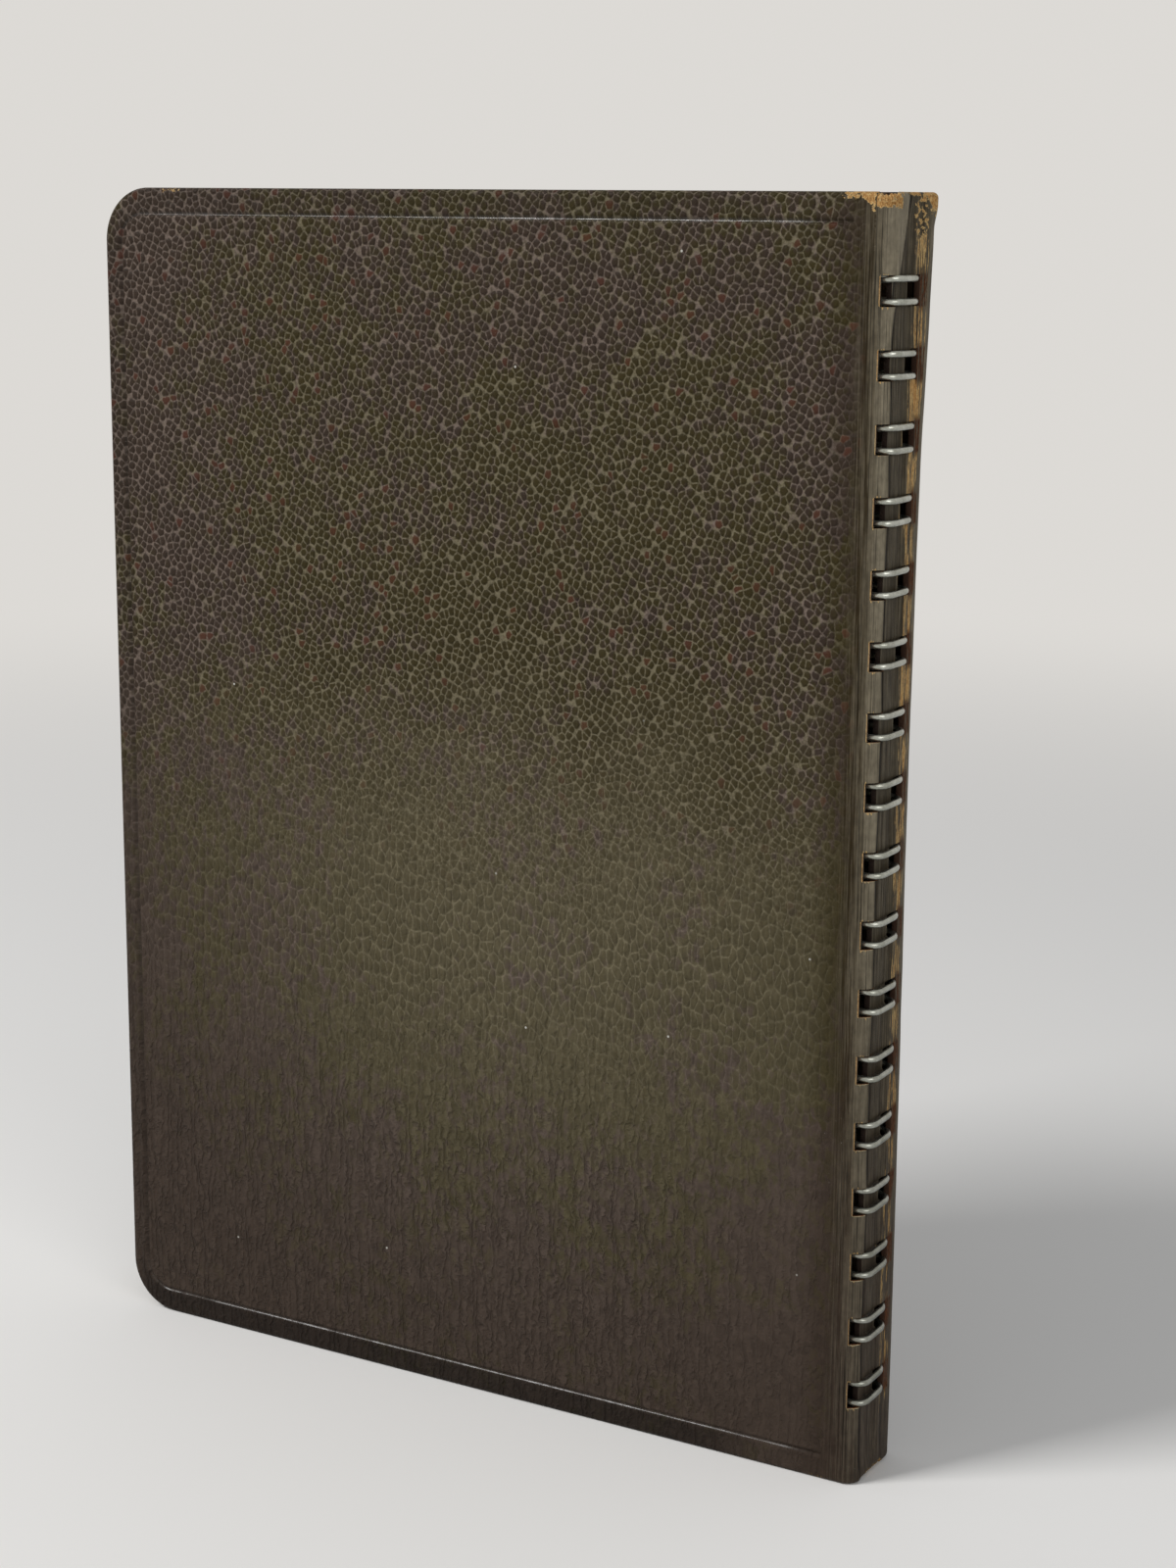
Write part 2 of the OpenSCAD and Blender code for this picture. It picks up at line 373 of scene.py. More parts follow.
@dataclass(frozen=True)
class CoverLeather:
    """The leather of one cover: its outer face, its rolled edges and its turned-in edges."""

    book: Book
    body: Body
    seed: int
    line: PressedLine = PressedLine()
    lining: float = 0.3
    panel_inset: float = 9.0
    step: float = 2.6
    fine_step: float = 0.5
    fine_reach: float = 4.0
    arc_steps: int = 20
    bend_width: float = 5.0

    def path(self, inset: np.ndarray, end_x: float) -> tuple[np.ndarray, np.ndarray]:
        """The cover's free edges at each inset, from the head of the spine round to its tail.

        A straight run goes at the inset from the edge, and a corner is an arc round the corner's
        centre whose radius is the corner radius less the inset. Past the centre, the corner is a
        point. The head's half is the tail's half, mirrored.

        Args:
            inset: Distances inside the edge, as a column (rows, 1).
            end_x: Where the runs along the head and the tail start and end.

        Returns:
            The points (rows, columns, 2) as x and z, and the outward normals (columns, 2).
        """
        book = self.book
        centre = np.maximum(book.corner_radius, inset)
        radius = np.maximum(book.corner_radius - inset, 0.0)
        fine_from = book.board_edge - self.fine_reach
        stops = [x for x in (book.corner_radius, fine_from) if x < end_x] + [end_x]
        coarse = spread(stops[:2], self.step)
        fine = spread(stops[1:], self.fine_step) if len(stops) > 2 else coarse[-1:]
        along = np.concatenate([coarse, fine[1:]])
        share = (along - book.corner_radius) / (end_x - book.corner_radius)
        turn = np.linspace(0.0, QUARTER, self.arc_steps + 1)[-2:0:-1]
        side = spread([book.corner_radius, book.height - book.corner_radius], self.step)
        side_share = ((side - side[0]) / (side[-1] - side[0]))[::-1]

        run = np.concatenate([centre - radius * np.sin(turn), centre + (end_x - centre) * share], axis=1)
        level = np.concatenate([centre - radius * np.cos(turn), inset + 0.0 * share], axis=1)
        half = np.stack([run, level], axis=-1)
        side_z = centre + (book.height - 2.0 * centre) * side_share
        fore = np.stack([inset + 0.0 * side_z, side_z], axis=-1)
        half_out = np.stack([np.append(-np.sin(turn), 0.0 * along),
                             np.append(-np.cos(turn), 0.0 * along - 1.0)], axis=-1)
        fore_out = np.stack([0.0 * side - 1.0, 0.0 * side], axis=-1)
        flip = np.array([1.0, -1.0])
        head = half[:, ::-1] * flip + np.array([0.0, book.height])
        points = np.concatenate([head, fore, half], axis=1)
        return points, np.concatenate([half_out[::-1] * flip, fore_out, half_out])

    def unevenness(self, x: np.ndarray, z: np.ndarray) -> np.ndarray:
        """Depth of the outer face: soft waves, and a shallow step down where the board ends."""
        book = self.book
        waves = 0.05 * ripple(x, z, 46.0, self.seed) + 0.02 * ripple(x, z, 15.0, self.seed + 1)
        step = 0.16 * smoothstep(x, book.board_edge - 2.5, book.board_edge + 2.5)
        inside = smoothstep(x, 2.0, 12.0) * fall(x, book.fold_x - 5.0, book.fold_x)
        ends = smoothstep(z, 2.0, 14.0) * smoothstep(book.height - z, 2.0, 14.0)
        return (waves + step) * inside * ends

    def outer_profile(self) -> tuple[np.ndarray, np.ndarray, np.ndarray]:
        """The outer face's section from its inner ring to the rolled edge.

        Returns:
            The insets, the depths, and whether each inset follows the groove.
        """
        book = self.book
        half = np.array([1.3, 1.05, 0.85, 0.65, 0.5, 0.36, 0.24, 0.12])
        offsets = np.concatenate([half, [0.0], -half[::-1]])
        inner = np.array([self.panel_inset, 8.0, 7.1])
        outer = np.array([2.3, 1.5])
        turn = np.linspace(0.0, QUARTER, 9)
        roll_inset = book.edge_round * (1.0 - np.sin(turn))
        roll_depth = book.edge_round * (1.0 - np.cos(turn))
        inset = np.concatenate([inner, offsets, outer, roll_inset])
        depth = np.concatenate([0.0 * inner, self.line.drop(offsets), 0.0 * outer, roll_depth])
        follow = (np.arange(len(inset)) >= len(inner)) & (np.arange(len(inset)) < len(inner) + len(offsets))
        return inset, depth, follow

    def sheets(self) -> list[Sheet]:
        """The leather's surfaces: outer face, inner face, cut edges at the spine and turned-in edges.

        The groove fades out before the hinge. The groove and the band outside it are painted darker,
        as painted shade, the band most along the tail, and the groove catches the light at the tail and
        along a part of the head.

        Returns:
            The sheets, which share their edges' points.
        """
        book = self.book
        inset, depth, follow = self.outer_profile()
        edge, outward = self.path(np.zeros((1, 1)), book.fold_x)
        groove = self.line.inset(outward[:, 0])
        insets = inset[:, None] + follow[:, None] * groove[None]
        ring = edge - insets[..., None] * outward[None]
        x, z = ring[..., 0], ring[..., 1]
        stop = book.hinge_x - self.line.stop
        uneven = 1.0 + 0.22 * ripple(x, z, 9.0, self.seed + 2)
        drop = depth[:, None] * np.where(follow[:, None], fall(x, stop - 1.0, stop + 1.0) * uneven, 1.0)
        # Painted shade in the groove: the material darkens the colour by press.
        press = np.where(follow[:, None], np.clip(drop / self.line.depth, 0.0, 1.0), 0.0)
        over_edge = np.where(inset < book.edge_round, depth, 0.0)
        chart = ring + over_edge[:, None, None] * outward[None]
        top, tail = np.clip(outward[:, 1], 0.0, 1.0), np.clip(-outward[:, 1], 0.0, 1.0)
        # Painted shade: the band outside the groove, darkest where the edge faces the tail.
        rim = smoothstep(groove - insets, -0.2, 0.8) * (0.3 + 0.7 * tail) * fall(x, 130.0, 162.0)
        facing = 0.12 + 0.46 * tail + top * (0.5 + 0.5 * band(x, 92.0, 153.0, 6.0))
        glint = smoothstep(press, 0.1, 0.6) * facing * fall(x, 152.0, 162.0)
        panel = self._panel(ring[0])

        outer = self._sheet(ring, drop + self.unevenness(x, z), chart,
                            {"press": press, "rim": rim, "glint": glint})
        face = self._sheet(panel, self.unevenness(panel[..., 0], panel[..., 1]), panel)
        inner_ring = self._sheet(ring, book.leather, chart, back=True)
        inner_face = self._sheet(panel, book.leather, panel, back=True)
        edge_fields = {name: np.stack([values[-1]] * 2) for name, values in outer.fields.items()}
        spine_runs = [(outer, inner_ring, np.s_[:, 0]), (outer, inner_ring, np.s_[:, -1]),
                      (face, inner_face, np.s_[:, -1])]
        return [outer, face, inner_ring, inner_face, self._join(outer, inner_ring, -1, edge_fields),
                *(self._join(*run, {}) for run in spine_runs), self._turned_in()]

    def _panel(self, ring: np.ndarray) -> np.ndarray:
        """Fills the inner ring with a grid whose lines run smoothly between its four sides.

        Each point is the mean of the two opposite sides' lines less the corners' share, as a
        Coons patch is.

        Args:
            ring: The inner ring's points, from the head of the spine round to its tail.

        Returns:
            The grid, with rows from tail to head and columns from fore-edge to spine.
        """
        runs = int(np.count_nonzero(ring[:, 1] > self.book.height - self.panel_inset - NEAR))
        half = self.arc_steps // 2
        first, last = runs - 1 + half, len(ring) - runs - half
        head, fore, tail = ring[:first + 1][::-1], ring[first:last + 1][::-1], ring[last:]
        rise = (fore[:, 1] - fore[0, 1]) / (fore[-1, 1] - fore[0, 1])
        spine_z = tail[-1, 1] + (head[-1, 1] - tail[-1, 1]) * rise
        spine = np.stack([np.full_like(spine_z, tail[-1, 0]), spine_z], axis=-1)
        run = (tail[:, 0] - tail[0, 0]) / (tail[-1, 0] - tail[0, 0])
        u, v = run[None, :, None], rise[:, None, None]
        across = (1.0 - u) * fore[:, None] + u * spine[:, None]
        upward = (1.0 - v) * tail[None] + v * head[None]
        corners = ((1.0 - u) * (1.0 - v) * tail[0] + u * (1.0 - v) * tail[-1]
                   + (1.0 - u) * v * head[0] + u * v * head[-1])
        return across + upward - corners

    def _sheet(self, flat: np.ndarray, depth: np.ndarray | float, chart: np.ndarray,
               fields: dict[str, np.ndarray] | None = None, back: bool = False) -> Sheet:
        """Makes a sheet at the given depths under this cover's outer face.

        Args:
            flat: Points as x and z.
            depth: Depth of each point under the outer face.
            chart: The same points unrolled.
            fields: More fields, for the painted shade in and beside the groove and for the groove's coat.
            back: Whether the sheet is the leather's inner side.

        Returns:
            The sheet, turned for the front cover.
        """
        points, laid = upright(flat, depth), chart.copy()
        wear = self._wear(flat[..., 0], flat[..., 1], points[..., 1])
        if self.body is Body.FRONT:
            points[..., 1] = self.book.thickness - points[..., 1]
            laid[..., 0] = self.book.chart_length - laid[..., 0]
        inside = np.full(wear.shape, float(back))
        # Painted sheen where the cover runs into the fold.
        pale = painted_fold_sheen(flat[..., 0] - self.book.fold_x, flat[..., 1])[1]
        return Sheet(points, laid, {"wear": wear, "inside": inside, "pale": pale, **(fields or {})})

    def _wear(self, x: np.ndarray, z: np.ndarray, depth: np.ndarray) -> np.ndarray:
        """Raw leather on the back cover: along the head by the spine, and two small nicks."""
        book = self.book
        below_head = book.height - z + depth
        reach = 1.1 + 1.5 * smoothstep(x, book.fold_x - 3.0, book.fold_x - 0.5)
        head = 0.75 + 0.15 * smoothstep(x, book.fold_x - 3.0, book.fold_x)
        head = head * smoothstep(x, 161.5, 164.0) * fall(below_head - reach, -0.5, 0.4)
        top_nick = 0.8 * bell(x, 17.0, 2.2) * bell(below_head, 0.0, 0.9)
        tail_nick = 0.7 * bell(x, 164.0, 2.5) * bell(z + depth, 0.0, 0.8)
        return float(self.body is Body.BACK) * np.clip(head + top_nick + tail_nick, 0.0, 1.0)

    @staticmethod
    def _join(one: Sheet, other: Sheet, run: tuple | int, fields: dict[str, np.ndarray]) -> Sheet:
        """Joins the same run of two sheets' points with a strip."""
        return Sheet(np.stack([one.points[run], other.points[run]]),
                     np.stack([one.chart[run], other.chart[run]]), fields)

    def _turned_in(self) -> Sheet:
        """The leather that is turned in over the board, as a closed band along the free edges.

        Returns:
            The sheet.
        """
        book, width = self.book, self.book.turn_in_width
        under, over, face = book.leather, book.board_face, book.stack - self.lining
        turn = np.linspace(0.0, QUARTER, 8)
        roll_inset = book.edge_round * (1.0 - np.cos(turn))
        roll_depth = face - book.edge_round * (1.0 - np.sin(turn))
        inset = np.concatenate([[0.0], roll_inset, [3.0, 7.0, width - 0.5, width, width, under, under, 0.0]])
        depth = np.concatenate([[under], roll_depth,
                                [face, face, face, face - 0.2, over, over, under, under]])
        flat, outward = self.path(inset[:, None], book.board_edge)
        return self._sheet(flat, depth[:, None], flat + depth[:, None, None] * outward[None])

    def build(self, leather: bpy.types.Material) -> bpy.types.Object:
        """Makes the piece, which stands for the cover's leather.

        Args:
            leather: Its material.

        Returns:
            The piece.
        """
        name = self.body.value
        shell = Shell(f"{name}_grained_leather", self.book, self.sheets(), LeatherFinish.FIELDS)
        piece = shell.build([leather])
        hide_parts(f"{name}_leather")
        level = 0.0 if self.body is Body.BACK else self.book.thickness
        hinge = self.book.hinge_x
        start, end = self.book.place([[hinge - self.bend_width, level, 0.0], [hinge, level, 0.0]])
        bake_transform(piece)
        return piece


@dataclass(frozen=True)
class SpineLeather:
    """The slotted leather round the spine, with the strips that the wire presses in.

    Its places are distances s along the outer face from the back fold's start.
    """

    book: Book
    seed: int
    slot_angle: float = 18.0
    strip_start_y: float = 2.775
    strip_end_y: float = 9.375
    slot_end_y: float = 11.7
    strip_inset: float = 1.2
    strip_ramp: float = 0.8
    valley_depth: float = 0.45
    crease_from_strip: float = 0.75
    faint_crease: float = 8.7
    column_step: float = 0.3
    fine_step: float = 0.13
    row_step: float = 0.7

    @property
    def slot_start(self) -> float:
        """Where the back slots start, on the fold."""
        return self.book.fold_radius * np.radians(self.slot_angle)

    @property
    def strip_start(self) -> float:
        """Where the strips between the slots start, on the fold."""
        return self.book.fold_radius * np.arccos(1.0 - self.strip_start_y / self.book.fold_radius)

    @property
    def strip_end(self) -> float:
        """Where the strips end and the front slots start."""
        return self.book.fold_length + self.strip_end_y - self.book.fold_radius

    @property
    def slot_end(self) -> float:
        """Where the front slots end."""
        return self.book.fold_length + self.slot_end_y - self.book.fold_radius

    def section(self, s: np.ndarray) -> tuple[np.ndarray, np.ndarray]:
        """The spine's outer section: a quarter circle, a straight run and another quarter circle.

        Args:
            s: Distances along the leather.

        Returns:
            The points (n, 2) as x and y, and the outward normals (n, 2).
        """
        book = self.book
        radius, fold = book.fold_radius, book.fold_length
        on_back = s < 0.5 * book.spine_length
        angle = np.clip(np.where(on_back, s, book.spine_length - s), 0.0, fold) / radius
        straight = np.clip(s - fold, 0.0, book.thickness - 2.0 * radius)
        y_back = radius - radius * np.cos(angle) + straight
        y_front = book.thickness - radius + radius * np.cos(angle)
        y = np.where(s <= book.spine_length - fold, y_back, y_front)
        normal = np.stack([np.sin(angle), np.where(on_back, -1.0, 1.0) * np.cos(angle)], axis=-1)
        return np.stack([book.fold_x + radius * np.sin(angle), y], axis=-1), normal

    def crease(self, z: np.ndarray) -> np.ndarray:
        """Place of the crease between the fold and the sunken strips, which leans forward at the head."""
        lean = 5.0 * smoothstep(z, self.book.height - 25.0, self.book.height + 2.0)
        wander = 0.12 * np.sin(z / 7.0) + 0.08 * np.sin(z / 2.9 + 1.0)
        return self.strip_start - self.crease_from_strip + lean + wander

    def faint(self, s: np.ndarray, z: np.ndarray, width: float) -> np.ndarray:
        """The fainter crease half way across the strips."""
        return bell(s, self.faint_crease + 0.25 * np.sin(z / 9.0), width)

    def rows(self) -> tuple[np.ndarray, np.ndarray]:
        """Heights of the grid's rows and how far the rolled ends dip at them.

        Returns:
            The heights and the dips.
        """
        book = self.book
        half, flat = 0.5 * book.slot_height, 0.5 * book.slot_height - self.strip_ramp
        stops = book.stops((-half, -flat, flat, half), book.edge_round, book.height - book.edge_round)
        straight = spread(stops, self.row_step)
        turn = np.linspace(0.0, QUARTER, 7)[:-1]
        roll_z = book.edge_round * (1.0 - np.cos(turn))
        roll_dip = book.edge_round * (1.0 - np.sin(turn))
        z = np.concatenate([roll_z, straight, book.height - roll_z[::-1]])
        return z, np.concatenate([roll_dip, 0.0 * straight, roll_dip[::-1]])

    def columns(self) -> np.ndarray:
        """Places of the grid's columns, closer together at the crease and at the back slots' rims."""
        book, crease = self.book, self.strip_start - self.crease_from_strip
        rim = self.slot_start - 0.4
        fine, coarse = self.fine_step, self.column_step
        runs = [([0.0, rim], coarse), ([rim, self.slot_start], fine),
                ([self.slot_start, crease - 0.7], coarse),
                ([crease - 0.7, self.strip_start, book.fold_length], fine),
                ([book.fold_length, self.strip_end, self.slot_end, book.spine_length - book.fold_length,
                  book.spine_length], coarse)]
        parts = [spread(stops, step) for stops, step in runs]
        return np.concatenate([part[:-1] for part in parts] + [parts[-1][-1:]])

    def swelling(self, s: np.ndarray, z: np.ndarray) -> np.ndarray:
        """How far the front fold stands out: a slight waist, a flare and a bent corner at the head."""
        height, front_fold = self.book.height, self.book.spine_length - 3.7
        flare = 1.05 * smoothstep(z, height - 58.0, height - 2.0) - 0.3 * bell(z, 125.0, 45.0)
        corner = 0.55 * smoothstep(z, height - 6.5, height - 2.0)
        return flare * bell(s, front_fold, 3.2) + corner * bell(s, front_fold - 0.2, 1.8)

    def depth(self, s: np.ndarray, z: np.ndarray, from_slot: np.ndarray) -> np.ndarray:
        """Depth of the leather under its plain section.

        The strips between the wires lie a little under the fold, with a step at the crease and a
        fainter crease half way across. At a slot the wire presses the strip in further.

        Args:
            s: Distances along the leather.
            z: Heights.
            from_slot: Distances up or down from the nearest loop's middle.

        Returns:
            The depths.
        """
        book, half, crease = self.book, 0.5 * self.book.slot_height, self.crease(z)
        ends = smoothstep(z, 0.5, 6.0) * smoothstep(book.height - z, 0.5, 5.0)
        valley = self.valley_depth * ends * smoothstep(s - crease, -0.35, 0.7)
        valley = valley * fall(s, self.strip_end - 1.8, self.strip_end + 0.8)
        groove = (0.2 + 0.08 * ripple(s, z, 16.0, self.seed + 5)) * bell(s, crease + 0.12, 0.3)
        waves = 0.05 * ripple(s * 5.0, z, 22.0, self.seed) + 0.03 * ripple(s * 8.0, z, 9.0, self.seed + 1)
        depth = valley + 0.09 * self.faint(s, z, 0.35) * ends + groove * smoothstep(z, 0.5, 5.0) + waves
        pressed = self.strip_inset * smoothstep(half - from_slot, 0.0, self.strip_ramp)
        on_strip = (s > self.strip_start - NEAR) & (s < self.strip_end + NEAR) & (from_slot < half + NEAR)
        depth = np.where(on_strip, np.maximum(depth, pressed), depth)
        near_edge = smoothstep(s, 0.0, 0.8) * smoothstep(book.spine_length - s, 0.0, 0.8)
        return (depth - self.swelling(s, z)) * near_edge

    def sheet(self) -> Sheet:
        """The outer face with its slots left out.

        Returns:
            The sheet.
        """
        book, columns = self.book, self.columns()
        heights, dip = self.rows()
        outline, normal = self.section(columns)
        s, z = np.meshgrid(columns, heights)
        from_slot = np.broadcast_to(book.from_loop(heights)[:, None], s.shape)
        depth = self.depth(s, z, from_slot) + dip[:, None]
        points = np.concatenate([outline[None] - depth[..., None] * normal[None],
                                 (z - self.torn_off(s, z))[..., None]], axis=-1)

        middle_s, middle_z = 0.5 * (columns[1:] + columns[:-1]), 0.5 * (heights[1:] + heights[:-1])
        back_slot = (middle_s > self.slot_start) & (middle_s < self.strip_start)
        front_slot = (middle_s > self.strip_end) & (middle_s < self.slot_end)
        slot_rows = book.from_loop(middle_z) < 0.5 * book.slot_height
        keep = ~(slot_rows[:, None] & (back_slot | front_slot)[None])
        # Painted shade in the crease and the faint crease, carried by the press field.
        press = bell(s, self.crease(z) + 0.25, 0.38) * smoothstep(z, 0.5, 4.0)
        fields = {"wear": self.wear(s, z, from_slot), "soil": self.soil(s, from_slot),
                  "pale": self.pale(s, z, from_slot), "smooth": np.ones_like(s),
                  "press": np.maximum(press, 0.4 * self.faint(s, z, 0.3))}
        return Sheet(points, np.stack([s + book.fold_x, z], axis=-1), fields, keep, flip=True)

    def torn_off(self, s: np.ndarray, z: np.ndarray) -> np.ndarray:
        """How far the leather's end is worn back: ragged at the head behind the fold, and at the tail."""
        ragged = 0.45 + 0.35 * ripple(s * 9.0, 0.0 * z, 7.0, self.seed + 6)
        head = smoothstep(z, self.book.height - 2.5, self.book.height) * band(s, 0.3, 5.3, 0.5)
        return ragged * (head - fall(z, 0.0, 2.5) * band(s, 5.5, 13.0, 1.5))

    def pale(self, s: np.ndarray, z: np.ndarray, from_slot: np.ndarray) -> np.ndarray:
        """Painted light as a pale colour: painted sheen on both folds and painted highlights on the strips'
        edges at the slots, and the strips slightly paler.
        """
        crease, half = self.crease(z), 0.5 * self.book.slot_height
        strength, back = painted_fold_sheen(s, z)
        back = back * fall(s - crease, -0.8, 0.1)
        # Painted sheen on the front fold.
        front = 0.45 * strength * bell(s, self.book.spine_length - 4.4, 2.2)
        strip = 0.10 * band(s, crease + 1.6, self.strip_end + 1.0, 1.2)
        # Painted highlights on the strips' edges at the slots.
        rims = 0.3 * bell(s, self.strip_start + 0.2, 0.25) + 0.4 * bell(s, self.strip_end - 0.2, 0.3)
        return back + front + strip + fall(from_slot, half - 0.4, half) * rims

    def wear(self, s: np.ndarray, z: np.ndarray, from_slot: np.ndarray) -> np.ndarray:
        """Where the grain side has worn off.

        The worn places are the torn head behind the fold, its thin rim, the triangle at the front
        corner, upright stripes in front of the strips, the slots' rims and the ends of the tail.

        Args:
            s: Distances along the leather.
            z: Heights.
            from_slot: Distances up or down from the nearest loop's middle.

        Returns:
            The wear from 0 to 1.
        """
        half, to_head = 0.5 * self.book.slot_height, self.book.height - z
        rough = ripple(s * 3.0, z * 0.6, 7.0, self.seed + 4)
        patch = 0.88 * band(s, -0.5, 5.3, 0.7) * fall(to_head + 0.5 * rough, 2.1, 3.0)
        rim = 0.66 * fall(to_head, 0.3, 1.0)
        corner = 0.88 * smoothstep(4.5 - 1.45 * np.abs(s - 17.2) - to_head, -0.5, 0.7)
        wander = 0.25 * np.sin(z / 11.0 + 0.5)
        upper = smoothstep(z, 60.0, 190.0)
        stripes = (0.38 * bell(s, 11.9 + wander, 0.8) + 0.50 * bell(s, 14.1 + wander, 1.2 + 0.5 * upper)
                   + 0.12 * upper * band(s, 10.6, 15.6, 1.0))
        stripes = stripes * (1.15 + 0.5 * ripple(s * 0.7, z, 27.0, self.seed + 3)
                             + 0.5 * ripple(s * 5.0, z * 0.3, 7.0, self.seed + 7))
        stripes = stripes * (1.0 - 0.3 * smoothstep(z, 200.0, 226.0)) * smoothstep(z, 5.0, 20.0) * 0.9
        beside = 0.62 * band(s, self.slot_end, self.slot_end + 2.2, 0.3)
        beside = beside * fall(from_slot, half - 0.2, half + 1.0)
        nick = 0.44 * band(s, self.slot_start, self.slot_start + 1.4, 0.3)
        nick = nick * fall(np.abs(from_slot - half - 0.05), 0.05, 0.25)
        line = 0.97 * band(s, self.slot_start - 0.08, self.slot_start, 0.1) * (from_slot < half - 0.2)
        tail = 0.7 * band(s, 7.0, 14.0, 1.0) * fall(z, 0.5, 1.6)
        total = np.maximum.reduce([patch, rim, corner, stripes, beside, nick, line, tail])
        return np.clip(total, 0.0, 1.0)

    def soil(self, s: np.ndarray, from_slot: np.ndarray) -> np.ndarray:
        """Where the bare leather is dark red-brown: in front of the front slots."""
        half = 0.5 * self.book.slot_height
        across = band(s, self.slot_end - 0.2, self.slot_end + 5.0, 0.3)
        return across * fall(from_slot, half + 0.2, half + 1.2)

    def build(self, leather: bpy.types.Material, cut: bpy.types.Material) -> bpy.types.Object:
        """Makes the piece: the outer face, thickened inwards, with eased edges.

        Args:
            leather: The material of its faces.
            cut: The material of its cut edges.

        Returns:
            The piece.
        """
        shell = Shell("slotted_spine_leather", self.book, [self.sheet()], LeatherFinish.FIELDS)
        piece = shell.build([leather, cut], closed=False)
        wall = piece.modifiers.new("leather thickness", "SOLIDIFY")
        wall.thickness = self.book.leather * MM
        wall.offset = -1.0
        wall.use_rim = True
        wall.material_offset_rim = 1
        wall.use_even_offset = False
        ease = piece.modifiers.new("eased edges", "BEVEL")
        ease.width = 0.1 * MM
        ease.segments = 2
        ease.limit_method = "ANGLE"
        ease.angle_limit = np.radians(50.0)
        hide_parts("spine_leather")
        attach(piece, Body.BINDING.value)
        return piece


